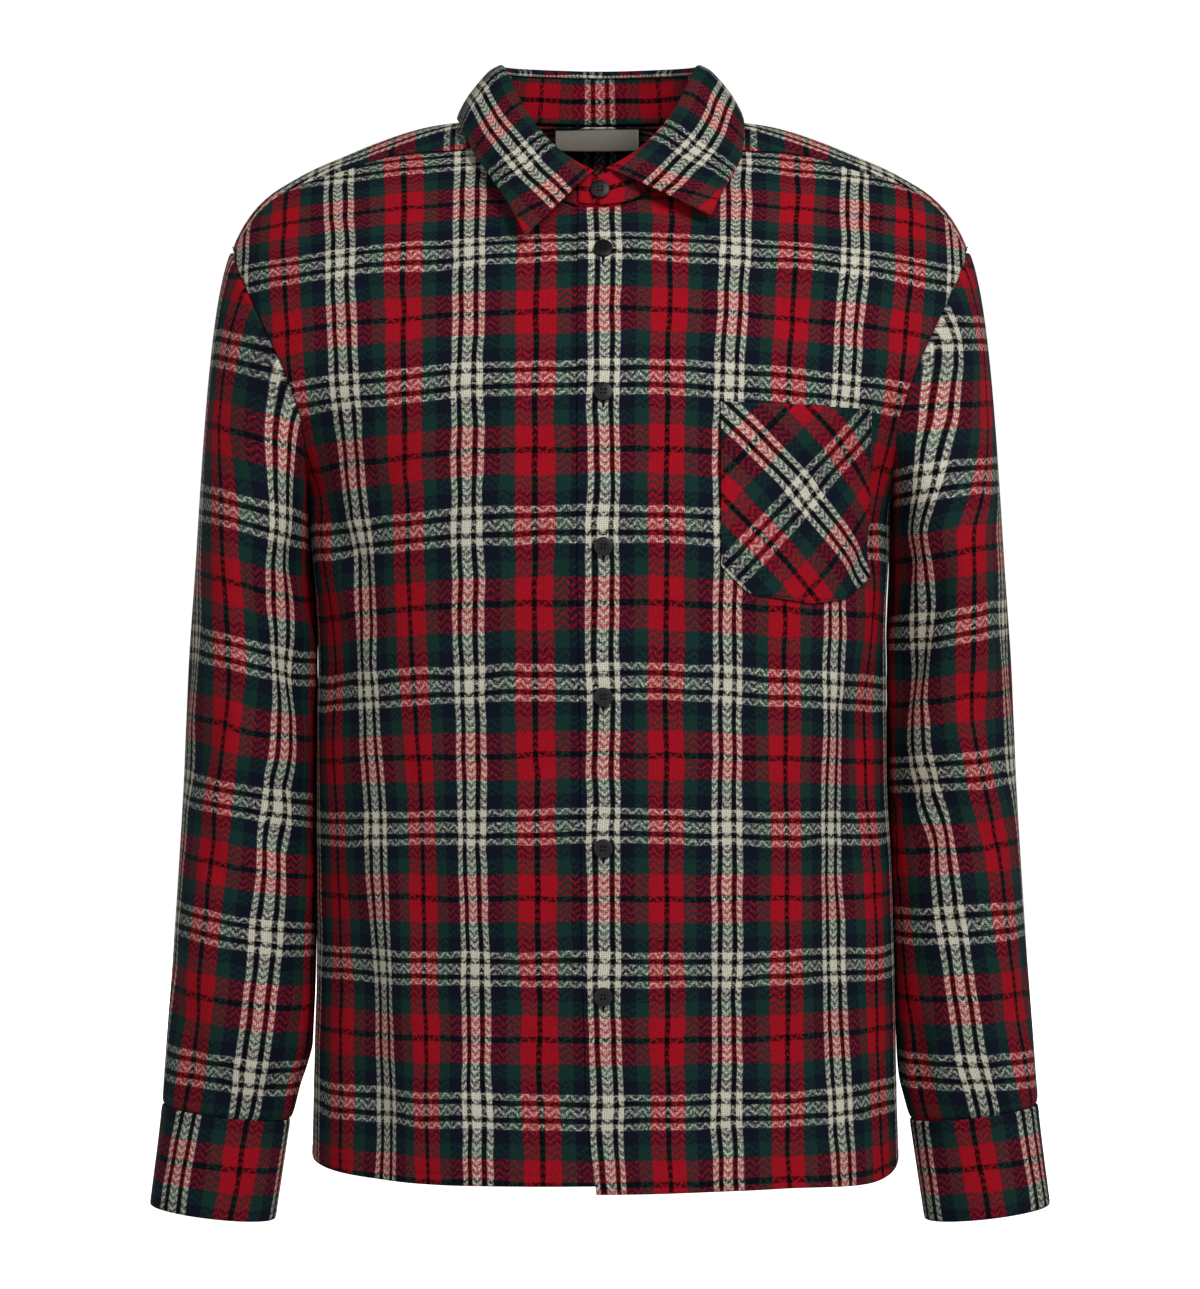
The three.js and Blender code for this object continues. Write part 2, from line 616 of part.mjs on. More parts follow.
function yokeEdges() {
  const frontX = armholeAt(YOKE_FRONT_TURN).x - SEAM_GAP;
  const backEnd = armholeAt(360 - YOKE_BACK_TURN);
  const middle = wholeRound(backEnd.z) / 2;
  const end = roundAt(backEnd.x, backEnd.z, true);
  const cornerX = neckAt(NECK_CORNER).x;
  const pastBack = (share) => Math.max(0, (share - YOKE_BACK_SHARE) / (1 - YOKE_BACK_SHARE));
  const frontSeam = (t) => {
    const x = mix(frontX, cornerX, t);
    return [x, wayAt(x, yokeFront(x), false) + 3 * SEAM_GAP];
  };
  const outer = (share) => {
    if (share <= YOKE_BACK_SHARE) {
      const { x } = pointRound(mix(middle, end, share / YOKE_BACK_SHARE) - 0.001, backEnd.z);
      return [x, wayAt(x, backEnd.z, true) - 2 * SEAM_GAP];
    }
    const turn = mix(-YOKE_BACK_TURN, YOKE_FRONT_TURN, pastBack(share));
    const { x, z, isBack } = armholeAt(turn);
    const gap = mix(-2, 3, pastBack(share)) * SEAM_GAP;
    return [x - SEAM_GAP, wayAt(x - SEAM_GAP, z, isBack) + gap];
  };
  const neck = (share) => {
    const turn = share <= YOKE_BACK_SHARE
      ? (YOKE_RIDGE_TURN * share) / YOKE_BACK_SHARE
      : mix(YOKE_RIDGE_TURN, NECK_CORNER, pastBack(share));
    const { x, z, isBack } = neckAt(turn);
    return [x, wayAt(x, z, isBack) + 3 * SEAM_GAP * pastBack(share)];
  };
  const bothWays = (half) => (s) => {
    const [x, way] = half(Math.abs(1 - 2 * s));
    return [s < 0.5 ? x : -x, way];
  };
  const right = (t) => [-frontSeam(t)[0], frontSeam(t)[1]];
  return { left: frontSeam, right, low: bothWays(outer), top: bothWays(neck) };
}

function yokeGrid() {
  const edges = yokeEdges();
  const half = [
    ...steps(0, YOKE_BACK_SHARE, BACK_COLUMNS / 2),
    ...steps(YOKE_BACK_SHARE, 1, 4).slice(1),
  ];
  const east = half.map((h) => (1 - h) / 2).reverse();
  const west = half.slice(1).map((h) => (1 + h) / 2);
  const columns = [...east, ...west];
  return steps(0, 1, FRONT_SEAM_COLUMNS).map((t) =>
    columns.map((s) => {
      const [x, way] = patch(edges, s, t, { hold: 8 });
      return overShoulder(x, way);
    }),
  );
}

// A ring of the sleeve at a height, by the turn round it.
function sleeveRing(turn, z) {
  const column = (name) => read(SLEEVE_UP, "z", name, z);
  const half = (column("outer") - column("inner")) / 2;
  const cosine = Math.cos(turn * DEGREE);
  return new THREE.Vector3(
    column("inner") + half + half * cosine,
    column("middleY") - column("halfDepth") * Math.sin(turn * DEGREE),
    z + half * cosine * Math.tan(column("lean") * DEGREE),
  );
}
// The cap: a curve from the armhole to the first full ring, leaving the torso as the cloth does.
function capPoint(turn, t) {
  const seam = armholeAt(turn);
  const start = surfaceAt(seam.x, seam.z, seam.isBack);
  const end = sleeveRing(turn, CAP_END_Z);
  const towards = end.clone().sub(start);
  const length = towards.length();
  const sine = Math.sin(turn * DEGREE);
  const out = new THREE.Vector3(mix(0.45, 0.75, sine ** 2), 0.5 * sine, mix(-0.9, -0.4, sine ** 2));
  const hug = 0.75 * Math.cos((turn * DEGREE) / 2) ** 2;
  const leave = towards.clone().normalize().lerp(out.normalize(), hug).normalize();
  start.addScaledVector(leave, 4 * SEAM_GAP);
  start.x += SEAM_GAP * (1 - Math.cos(turn * DEGREE));
  const first = leave.multiplyScalar(length * 0.6);
  const lower = sleeveRing(turn, CAP_END_Z - 10).sub(end).normalize();
  const last = lower.multiplyScalar(length * 0.6);
  const s = t * t * (3 - 2 * t);
  return start
    .clone()
    .lerp(end, s)
    .addScaledVector(first, t * (1 - t) ** 2)
    .addScaledVector(last, -t * t * (1 - t));
}

// Turns round the sleeve, closer at its front and back, where it bends most.
const SLEEVE_TURNS = steps(0, 360, 24)
  .slice(0, -1)
  .map((turn) => turn + SLEEVE_CROWDING * Math.sin(2 * turn * DEGREE));
const SLEEVE_UNIT = 50 * DEGREE; // millimetres a degree, about
const CUFF_FADE = 14; // the sleeve's folds die out over this much above the cuff

const sleeveFolds = (turn, z) =>
  smooth((z - CUFF_TOP_Z) / CUFF_FADE) * foldsAt(SLEEVE_FOLDS, turn, z, SLEEVE_UNIT);

function sleeveGrid(side) {
  const cap = steps(1, 0, 8);
  const tube = steps(CUFF_TOP_Z + SEAM_GAP, CAP_END_Z, 15).slice(0, -1);
  const turns = side > 0 ? [...SLEEVE_TURNS].reverse() : SLEEVE_TURNS;
  const flip = (p) => new THREE.Vector3(side * p.x, p.y, p.z);
  const rows = [
    ...tube.map((z) => turns.map((turn) => flip(sleeveRing(turn, z)))),
    ...cap.map((t) => turns.map((turn) => flip(capPoint(turn, t)))),
  ];
  return moved(rows, (p, i, j) => -sleeveFolds(turns[j], p.z), true);
}

// The cuff: a strip once round the wrist and lapped at the back.
function cuffPoint(turn, z, lift) {
  const p = sleeveRing(turn, z);
  const middle = sleeveRing(turn, z).add(sleeveRing(turn + 180, z)).multiplyScalar(0.5);
  const out = p.clone().sub(middle).setZ(0).normalize();
  return p.addScaledVector(out, lift);
}

function cuffGrid(side) {
  const from = CUFF_LAP_TURN - 360 - CUFF_LAP / 2;
  const to = CUFF_LAP_TURN + CUFF_LAP / 2;
  const turns = side > 0 ? steps(to, from, 28) : steps(from, to, 28);
  return steps(CUFF_END_Z, CUFF_TOP_Z - SEAM_GAP, 3).map((z) =>
    turns.map((turn) => {
      const lift = (CUFF_LIFT) * smooth((turn - to + 2 * CUFF_LAP) / CUFF_LAP);
      const p = cuffPoint(turn, z, lift);
      return new THREE.Vector3(side * p.x, p.y, p.z);
    }),
  );
}

// The placket over the sleeve's slit: a plain strip that lies on the sleeve above the cuff.
function placketGrid(side) {
  const halfTurn = PLACKET.width / 2 / SLEEVE_UNIT;
  const from = CUFF_LAP_TURN - halfTurn;
  const to = CUFF_LAP_TURN + halfTurn;
  const turns = side > 0 ? steps(to, from, 3) : steps(from, to, 3);
  const low = CUFF_TOP_Z + 3;
  const plain = steps(low, low + PLACKET.length, 9).map((z) =>
    turns.map((turn) => {
      const p = sleeveRing(turn, z);
      return new THREE.Vector3(side * p.x, p.y, p.z);
    }),
  );
  return moved(plain, (p, i, j) => WALL + LAID_GAP - sleeveFolds(turns[j], p.z));
}

// ---- Collar ----
const standLap = (turn) => (FIRM_WALL + LAID_GAP) * smooth((turn - 140) / 26);

// A point of the stand's outer face, share 0 at the neck seam and 1 at its top.
function standPoint(turn, share) {
  const { x, z, isBack } = neckAt(turn);
  const seam = surfaceAt(x, z, isBack);
  const out = new THREE.Vector3(seam.x, seam.y - NECK.middleY, 0).normalize();
  const place = Math.min(180, Math.abs(turn));
  const up = new THREE.Vector3(0, 0, 1).addScaledVector(out, -read(STAND, "turn", "lean", place));
  const raise = 2 * SEAM_GAP + (turn > 90 ? lapLift(x) : 0);
  const height = raise + share * read(STAND, "turn", "height", place);
  return seam.addScaledVector(up.normalize(), height).addScaledVector(out, standLap(turn));
}

function standGrid() {
  const end = turnPastCentre(BUTTON_STAND);
  return steps(0, 1, 3).map((share) => steps(end, -end, 38).map((turn) => standPoint(turn, share)));
}

// The leaf, from its fold over the stand down to its free edge.
function leafGrid() {
  const turns = steps(-LEAF_END_TURN, LEAF_END_TURN, 38);
  return LEAF_SHARES.map((share) =>
    turns.map((turn) => {
      const top = standPoint(turn, 1);
      const out = new THREE.Vector3(top.x, top.y - NECK.middleY, 0).normalize();
      top.addScaledVector(out, turn < 0 ? standLap(-turn) : 0);
      const along = standPoint(turn + 1, 1).sub(standPoint(turn - 1, 1));
      top.addScaledVector(along.cross(out).normalize(), LEAF_TOP).addScaledVector(out, -1);
      const column = (name) => read(LEAF_EDGE, "turn", name, turn);
      const edge = new THREE.Vector3(column("x"), column("y"), column("z"));
      const bulge = 4 * share * (1 - share) * LEAF_BULGE;
      const roll = LEAF_ROLL * smooth(10 * share) * (1 - share);
      return top.lerp(edge, share).addScaledVector(out, bulge + roll);
    }),
  );
}

// ---- What lies on the front ----
const leftFrontLift = (p) => lapLift(p.x) - foldsAt(FRONT_FOLDS, p.x, p.z);

function pocketGrid() {
  const inner = POCKET_LOW[0].x;
  const outer = POCKET_LOW[POCKET_LOW.length - 1].x;
  const columns = steps(inner, outer, 12);
  const lowAt = (x) => {
    const i = POCKET_LOW.findIndex((corner, k) => k > 0 && x <= corner.x);
    const [before, after] = [POCKET_LOW[i - 1], POCKET_LOW[i]];
    return mix(before.z, after.z, (x - before.x) / (after.x - before.x));
  };
  const topAt = (x) => mix(POCKET_TOP.inner, POCKET_TOP.outer, (x - inner) / (outer - inner));
  const plain = steps(0, 1, 9).map((t) =>
    columns.map((x) => surfaceAt(x, mix(lowAt(x), topAt(x), t))),
  );
  return moved(plain, (p) => leftFrontLift(p) + POCKET_GAP + WALL);
}

// The label lies on the inside of the yoke, under the neck seam.
function labelGrid() {
  const plain = steps(1, 0, 2).map((t) =>
    steps(LABEL.halfWidth, -LABEL.halfWidth, 8).map((x) => {
      const { z } = neckAt(Math.asin(x / NECK.halfWidth) / DEGREE);
      return overShoulder(x, wayAt(x, z, true) + 1 + LABEL.height * t);
    }),
  );
  return moved(plain, () => -WALL - 3 * LAID_GAP);
}

// A flat button with four holes, its back at a point and its face turned along a direction.
function button(name, point, out) {
  const { radius, thick, holeReach, holeRadius } = BUTTON;
  const disc = new THREE.Shape().absarc(0, 0, radius, 0, 2 * Math.PI);
  for (let i = 0; i < 4; i += 1) {
    const place = ((0.5 + i) * Math.PI) / 2;
    const rim = steps(0, -2 * Math.PI, 5).slice(0, -1);
    const around = rim.map((angle) => {
      const x = holeReach * Math.cos(place) + holeRadius * Math.cos(angle);
      const y = holeReach * Math.sin(place) + holeRadius * Math.sin(angle);
      return new THREE.Vector2(x, y);
    });
    disc.holes.push(new THREE.Path(around));
  }
  const options = { depth: thick, bevelEnabled: false, curveSegments: 9 };
  const geometry = new THREE.ExtrudeGeometry(disc, options);
  const turned = new THREE.Quaternion().setFromUnitVectors(new THREE.Vector3(0, 0, 1), out);
  geometry.applyQuaternion(turned);
  geometry.translate(point.x, point.y, point.z);
  const mesh = new THREE.Mesh(geometry, materialFor(name));
  mesh.name = name;
  return mesh;
}

// A button on a face given as a function of two places, at its outside.
function buttonOn(name, face, a, b, stepA, stepB) {
  const here = face(a, b);
  const across = face(a + stepA, b).sub(face(a - stepA, b));
  const up = face(a, b + stepB).sub(face(a, b - stepB));
  const out = across.cross(up).normalize();
  return button(name, here.addScaledVector(out, LAID_GAP), out);
}

const leftFrontFace = (x, z) => {
  const p = surfaceAt(x, z);
  p.y -= leftFrontLift(p);
  return p;
};

function buttons() {
  const front = BUTTON_HEIGHTS.map((z, i) =>
    buttonOn(`button_${i + 1}`, leftFrontFace, BUTTON_X, z, 4, 4),
  );
  const stand = buttonOn("button_stand", standPoint, 180, 0.5, -3, 0.2);
  const cuffFace = (side) => (turn, z) => {
    const p = cuffPoint(turn, z, CUFF_LIFT);
    return new THREE.Vector3(side * p.x, p.y, p.z);
  };
  const middle = (CUFF_TOP_Z + CUFF_END_Z) / 2;
  return [
    ...front,
    stand,
    buttonOn("button_cuff_left", cuffFace(1), CUFF_LAP_TURN, middle, -6, 6),
    buttonOn("button_cuff_right", cuffFace(-1), CUFF_LAP_TURN, middle, 6, 6),
  ];
}

// ---- The whole shirt ----
const shirt = new THREE.Group();
shirt.name = "check_shirt";
shirt.add(
  wallOf("front_left", frontGrid(1), WALL),
  wallOf("front_right", frontGrid(-1), WALL),
  wallOf("back", backGrid(), WALL),
  wallOf("yoke", yokeGrid(), WALL),
  wallOf("sleeve_left", sleeveGrid(1), WALL, true),
  wallOf("sleeve_right", sleeveGrid(-1), WALL, true),
  wallOf("sleeve_placket_left", placketGrid(1), WALL),
  wallOf("sleeve_placket_right", placketGrid(-1), WALL),
  wallOf("cuff_left", cuffGrid(1), FIRM_WALL),
  wallOf("cuff_right", cuffGrid(-1), FIRM_WALL),
  wallOf("collar_stand", standGrid(), FIRM_WALL),
  wallOf("collar_leaf", leafGrid(), FIRM_WALL),
  wallOf("pocket", pocketGrid(), WALL),
  wallOf("neck_label", labelGrid(), LABEL.thick),
  ...buttons(),
);
export default shirt;
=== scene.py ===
"""A brushed check shirt as it hangs on a wearer. Tables are in millimetres, turns in degrees."""

import math

import bmesh
import bpy
import numpy as np
from mathutils import Matrix, Vector


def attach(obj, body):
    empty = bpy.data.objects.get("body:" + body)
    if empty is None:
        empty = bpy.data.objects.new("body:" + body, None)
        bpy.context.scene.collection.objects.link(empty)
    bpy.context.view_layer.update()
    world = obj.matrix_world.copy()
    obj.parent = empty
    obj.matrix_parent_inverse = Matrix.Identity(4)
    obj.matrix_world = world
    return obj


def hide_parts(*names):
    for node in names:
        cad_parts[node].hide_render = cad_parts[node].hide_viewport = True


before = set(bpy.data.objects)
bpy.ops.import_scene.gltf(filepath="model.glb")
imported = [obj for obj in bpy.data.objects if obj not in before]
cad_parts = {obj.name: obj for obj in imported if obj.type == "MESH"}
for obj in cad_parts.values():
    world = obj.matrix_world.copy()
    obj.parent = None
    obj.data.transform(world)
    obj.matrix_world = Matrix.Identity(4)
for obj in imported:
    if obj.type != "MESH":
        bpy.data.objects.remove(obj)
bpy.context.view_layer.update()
bpy.ops.object.select_all(action="DESELECT")

MM = 0.001
WALL = 1.5  # one layer of cloth
FIRM_WALL = 2.0  # the collar and the cuffs
SEAM_GAP = 0.3  # between pieces sewn edge to edge
LAID_GAP = 0.5  # between pieces that lie on each other
POCKET_GAP = 1.7  # at most, between the pocket and the front
BUTTON_STAND = 14.0  # how far each front runs past the middle
HALVINGS = 40  # enough to find a place to far below a micrometre


def table(columns, *rows):
    """A table with named columns, each a numpy array."""
    names = columns.split()
    return {name: np.array([row[i] for row in rows], float) for i, name in enumerate(names)}


# ---- The sizes of the shirt, the same as its solids have ----
TORSO = table(
    "z half front back middle_x middle_y power",
    (-690, 190.5, 129, 128, 3.5, 0, 2.35),
    (-600, 188.5, 128, 127, 3.5, 0, 2.35),
    (-480, 186.5, 129, 126, 2.5, 0, 2.35),
    (-360, 185, 132, 128, 1.5, 0, 2.35),
    (-275, 187, 134, 131, 0, 0, 2.35),
    (-242, 191, 133, 132, 0, 0, 2.3),
    (-228, 197, 131, 132, 0, 0, 2.25),
    (-205, 215, 129, 132, 0, 0, 2.2),
    (-178, 240, 125, 131, 0, 0, 2.1),
    (-150, 251, 118, 129, 0, 0, 2.05),
    (-125, 249, 110, 126, 0, 0, 2),
    (-100, 246, 99, 122, 0, 0, 2),
    (-80, 240, 89, 117, 0, 0, 2),
    (-62, 231, 78, 111, 0, 1, 2),
    (-50, 222, 71, 107, 0, 2, 2),
    (-40, 210, 64, 103, 0, 3, 2),
    (-29, 191, 57, 97, 0, 4, 2),
    (-19, 168, 49, 91, 0, 5, 2),
    (-8.5, 143, 43, 82, 0, 6, 2),
    (1, 112, 36, 69, 0, 7, 2),
    (5, 76, 26, 61, 0, 8, 2),
    (10, 45, 16, 54, 0, 8, 2),
    (14, 0, 0, 0, 0, 8, 2),
)
HEM_LEFT = table("round z", (0, -674), (110, -675), (185, -679), (235, -674), (285, -665))
HEM_RIGHT = table("round z", (0, -669), (130, -671), (235, -668), (285, -665))
HEM_BACK = table("round z", (240, -665), (330, -670), (440, -671), (530, -668))
SIDE_HEM_Z = -665
LEFT_EDGE = table("z past", (-674, 5), (-610, 12), (-500, 14), (-62, 14))
NECK = {"half": 70, "middle_y": 8, "back_z": 10, "front_z": -62}
YOKE_FRONT = table(
    "x drop",
    (55, 15), (70, 19), (92, 23), (133, 17), (168, 13), (195, 9), (225, 5), (240, 3),
)
ARMHOLE = table(
    "z x",
    (-242, 191), (-228, 188), (-205, 187.5), (-178, 194), (-150, 206), (-124, 219), (-100, 231),
    (-80, 240),
)
ARMHOLE_TOP_Z = -80
ARMHOLE_LOW_Z = -242
ARMHOLE_POINT = 0.3
ARMHOLE_BACK_OUT = 5
YOKE_FRONT_TURN = 12
YOKE_BACK_TURN = 38
YOKE_STRAIGHT_X = 200
SLEEVE = table(
    "z outer inner middle_y half_depth lean",
    (-702, 290.5, 209.5, -16, 32, 7),
    (-637, 283, 200, -13, 35, 7),
    (-622, 282, 198, -12, 39, 7),
    (-600, 280.5, 195.5, -11, 43, 7),
    (-535, 276, 192.5, -7, 51, 6),
    (-476, 272.5, 191, -4, 57, 4),
    (-420, 269.5, 190.5, -2, 62, 2),
    (-360, 267, 191, -2, 70, 1),
    (-290, 262, 192, -2, 79, 0),
)
CAP_END_Z = -290
CUFF_TOP_Z = -637
CUFF_END_Z = -702
CUFF_LAP_TURN = 262
CUFF_LAP = 36
CUFF_LIFT = FIRM_WALL + 0.5
PLACKET = {"length": 128, "width": 24}
PLACKET_SHIFT = 31.0  # of its check against the sleeve's
STAND = table(
    "turn height lean",
    (0, 31, 0.12),
    (90, 31, 0.12),
    (120, 29, 0.24),
    (150, 28, 0.25),
    (165, 25, 0.22),
    (180, 19, 0.2),
)
LEAF_END_TURN = 177
LEAF_BULGE = 4
LEAF_ROLL = 3
LEAF_ROLL_SHARE = 0.1
LEAF_EDGE = table(
    "turn x y z",
    (-177, -46.6, -104, -82.5),
    (-160, -55.6, -92, -64),
    (-140, -69, -74, -42),
    (-120, -80, -55, -25),
    (-100, -89, -34, -5),
    (-80, -93.5, 4, 6),
    (-60, -84, 38, 8.5),
    (-35, -55, 71, 7),
    (0, 0, 87, 4),
    (35, 55, 71, 7),
    (60, 84, 38, 8.5),
    (80, 93.5, 4, 6),
    (100, 93, -32, -5),
    (120, 91, -50, -24),
    (140, 82, -68, -43),
    (160, 76, -80, -54),
    (177, 70, -91, -68),
)
POCKET_TOP = (-186.5, -189)
POCKET_LOW = table("x z", (74, -288), (91, -305), (131, -311), (153, -308), (169, -294))
BUTTON_X = 2
BUTTON_HEIGHTS = (-90, -181, -276, -368, -461, -552)
LABEL = {"half": 28, "thick": 1}

# Soft folds as troughs, and as ridges where the depth is below 0: where each is deepest, its lean
# from upright, and its size. The deep ones are also in the solids.
FOLD = "x z lean length width depth"
FRONT_FOLDS = table(
    FOLD,
    (-150, -300, -14, 190, 20, 5),
    (168, -400, 6, 170, 16, 5),
    (-146, -590, 3, 260, 17, 7),
    (150, -520, -3, 330, 18, 6),
    (-62, -600, 4, 200, 22, 3),
    (74, -610, -5, 180, 24, 3),
    (120, -118, 52, 130, 15, 3),
    (-118, -112, -50, 120, 15, 3),
)
BACK_FOLDS = table(
    FOLD,
    (-150, -300, -12, 180, 20, 4),
    (152, -310, 12, 190, 20, 4),
    (-104, -420, 2, 520, 22, 7),
    (96, -440, -3, 480, 24, 6),
    (6, -520, 1, 360, 26, 5),
)
SLEEVE_FOLDS = table(
    FOLD,
    (128, -330, 20, 150, 13, 6),
    (62, -395, -32, 110, 14, 4),
    (112, -452, 40, 100, 13, 4),
    (250, -400, -30, 130, 14, 6),
    (300, -470, 25, 110, 14, 4),
    (58, -592, 6, 90, 12, 3.5),
    (140, -600, -6, 80, 11, 3.5),
    (232, -596, 5, 84, 11, 4),
)
SLEEVE_UNIT = math.radians(50)
CUFF_FADE = 14

# Smaller creases, in the cloth alone.
FRONT_CREASES = table(
    FOLD,
    (-168, -262, 30, 120, 7, 2.4),
    (-160, -310, 21, 150, 6, -1.5),
    (-174, -338, 12, 160, 8, 1.8),
    (-140, -236, 44, 90, 6, 1.3),
    (172, -270, -28, 110, 7, 2.2),
    (165, -322, -17, 140, 7, -1.3),
    (178, -352, -9, 150, 8, 1.6),
    (143, -232, -48, 80, 6, 1.1),
    (-100, -90, 14, 120, 9, 1.6),
    (-136, -128, -38, 90, 8, -1.2),
    (104, -96, -16, 110, 9, 1.4),
    (150, -140, 40, 80, 8, -1.1),
    (-112, -470, 6, 260, 13, 2.2),
    (-40, -300, 4, 180, 15, 1.1),
    (-34, -520, -5, 220, 14, 1.7),
    (46, -250, -6, 160, 15, -1),
    (52, -470, 4, 240, 13, 1.6),
    (108, -420, -8, 190, 12, -1.6),
    (-90, -640, -7, 120, 12, -2.2),
    (112, -628, 9, 150, 12, 2),
    (30, -640, 3, 110, 9, 1.2),
    (-172, -500, -4, 200, 10, 2),
    (176, -590, 5, 170, 10, 2),
    (34, -132, 76, 44, 7, 0.8),
    (38, -322, 80, 52, 8, 0.9),
    (-30, -410, 98, 50, 8, 0.7),
)
BACK_CREASES = table(
    FOLD,
    (-166, -272, 27, 120, 7, 2.3),
    (-158, -330, 16, 150, 7, -1.4),
    (168, -280, -25, 110, 7, 2.2),
    (160, -340, -14, 150, 8, -1.3),
    (-58, -180, 12, 150, 13, 1.8),
    (62, -196, -10, 160, 12, 1.6),
    (10, -260, 3, 220, 16, -1.8),
    (-150, -480, 6, 230, 12, 2.4),
    (146, -520, -5, 220, 13, 2.2),
    (-50, -560, -4, 190, 14, -2),
    (50, -600, 5, 170, 12, 2),
    (-176, -420, 4, 150, 9, 1.8),
)
SLEEVE_CREASES = table(
    FOLD,
    (150, -300, 26, 90, 7, 2.4),
    (166, -345, 12, 100, 7, -1.6),
    (96, -372, 48, 80, 7, 2),
    (80, -420, -40, 70, 6, -1.4),
    (140, -432, 55, 76, 6, 2.2),
    (150, -470, 38, 80, 6, -1.5),
    (70, -470, 30, 90, 8, 1.6),
    (104, -520, -24, 90, 8, 1.5),
    (34, -340, -16, 120, 9, 1.6),
    (30, -560, 10, 90, 8, 1.8),
    (90, -606, -4, 70, 6, 2),
    (116, -596, 7, 84, 6, -1.4),
    (166, -604, 4, 74, 6, 2),
    (200, -560, -18, 110, 8, 1.7),
    (206, -330, -22, 120, 9, 2),
    (284, -360, 18, 110, 9, 1.8),
    (262, -540, -12, 90, 8, 1.6),
    (318, -600, 5, 80, 6, 2),
    (286, -606, -5, 70, 6, 1.8),
    (340, -440, 34, 100, 9, 1.6),
)


# ---- Small helpers, all on numpy arrays ----
def mix(a, b, t):
    return a + (b - a) * t


def beyond(share, start):
    """The share of the stretch from start to 1."""
    return np.clip((share - start) / (1 - start), 0, 1)


def smooth(t):
    t = np.clip(t, 0, 1)
    return t * t * (3 - 2 * t)


def read(rows, along, column, at):
    """Reads a column of a table between its rows, on a curve that never overshoots them."""
    xs = rows[along]
    ys = rows[column]
    slopes = np.diff(ys) / np.diff(xs)
    bends = np.concatenate(([slopes[0]], np.zeros(len(xs) - 2), [slopes[-1]]))
    product = slopes[:-1] * slopes[1:]
    total = slopes[:-1] + slopes[1:]
    inner = product > 0
    bends[1:-1][inner] = 2 * product[inner] / total[inner]
    place = np.clip(at, xs[0], xs[-1])
    i = np.clip(np.searchsorted(xs, place, side="right") - 1, 0, len(xs) - 2)
    width = xs[i + 1] - xs[i]
    t = (place - xs[i]) / width
    straight = mix(ys[i], ys[i + 1], t * t * (3 - 2 * t))
    return straight + bends[i] * width * t * (1 - t) ** 2 - bends[i + 1] * width * t * t * (1 - t)


def read_all(rows, along, at):
    return {name: read(rows, along, name, at) for name in rows if name != along}


def line(rows, along, column, at):
    """The same in straight stretches."""
    return np.interp(at, rows[along], rows[column])


def unit(v):
    return v / np.maximum(np.linalg.norm(v, axis=-1, keepdims=True), 1e-9)


def points(x, y, z):
    return np.stack(np.broadcast_arrays(x, y, z), axis=-1).astype(float)


def summed(steps):
    """Running totals along the last axis, from 0."""
    return np.concatenate((np.zeros(steps.shape[:-1] + (1,)), np.cumsum(steps, -1)), -1)


def travelled(path):
    """The distance along a path, or along each of several, to each of its points."""
    return summed(np.linalg.norm(np.diff(path, axis=-2), axis=-1))


def ends_of_step(rows, i):
    return (np.take_along_axis(rows, (i + k)[..., None], -1)[..., 0] for k in (0, 1))


def row_at(rows, place):
    """Reads each row of numbers at its own place, counted in columns."""
    i = np.clip(np.floor(place).astype(int), 0, rows.shape[-1] - 2)
    low, high = ends_of_step(rows, i)
    return mix(low, high, place - i)


def place_in(rows, value):
    """The place at which each row of rising numbers reaches its own value."""
    i = np.clip((rows < value[..., None]).sum(-1) - 1, 0, rows.shape[-1] - 2)
    low, high = ends_of_step(rows, i)
    return i + (value - low) / (high - low)


# ---- The torso's surface ----
def ring(z):
    return read_all(TORSO, "z", z)


def on_ring(r, turn, z):
    sine = np.sin(turn)
    cosine = np.cos(turn)
    across = np.sign(sine) * np.abs(sine) ** (2 / r["power"])
    forward = np.sign(cosine) * np.abs(cosine) ** (2 / r["power"])
    reach = np.where(forward > 0, r["front"], r["back"])
    return points(r["middle_x"] + r["half"] * across, r["middle_y"] - reach * forward, z)


def turn_at(r, x, is_back):
    across = np.clip((x - r["middle_x"]) / np.maximum(r["half"], 1e-6), -1, 1)
    turn = np.sign(across) * np.arcsin(np.abs(across) ** (r["power"] / 2))
    return np.where(is_back, np.pi - turn, turn)


def surface_at(x, z, is_back=False):
    r = ring(z)
    return on_ring(r, turn_at(r, x, is_back), z)


GIRTH_STEPS = 72


def girths(r):
    """Distances round rings from the centre front, one row of the result for each ring."""
    wide = {name: np.asarray(value)[..., None] for name, value in r.items()}
    turns = np.linspace(0, np.pi, GIRTH_STEPS + 1)
    path = on_ring(wide, turns, 0)
    return travelled(path)


def round_from_turn(r, turn):
    return np.sign(turn) * row_at(girths(r), np.abs(turn) / np.pi * GIRTH_STEPS)


def point_round(distance, z):
    """The point at a distance round the torso from the centre front."""
    r = ring(z)
    place = place_in(girths(r), np.abs(distance))
    return on_ring(r, np.sign(distance) * place / GIRTH_STEPS * np.pi, z)


def round_at(x, z, is_back=False):
    x, z = np.broadcast_arrays(np.asarray(x, float), np.asarray(z, float))
    r = ring(z)
    return round_from_turn(r, turn_at(r, x, is_back))


def side_round(z):
    z = np.asarray(z, float)
    return round_from_turn(ring(z), np.full(z.shape, np.pi / 2))


def whole_round(z):
    z = np.asarray(z, float)
    return 2 * round_from_turn(ring(z), np.full(z.shape, np.pi))


RIDGE_LOW_Z = -150.0


def ridge(x):
    """The height of the shoulder's ridge at a distance from the middle."""
    low = np.full(np.shape(x), RIDGE_LOW_Z)
    high = np.full(np.shape(x), TORSO["z"][-1])
    for _ in range(HALVINGS):
        z = (low + high) / 2
        inside = read(TORSO, "z", "half", z) > np.abs(x)
        low = np.where(inside, z, low)
        high = np.where(inside, high, z)
    return low


WALK_STEPS = 60
WALK_DROP = 150


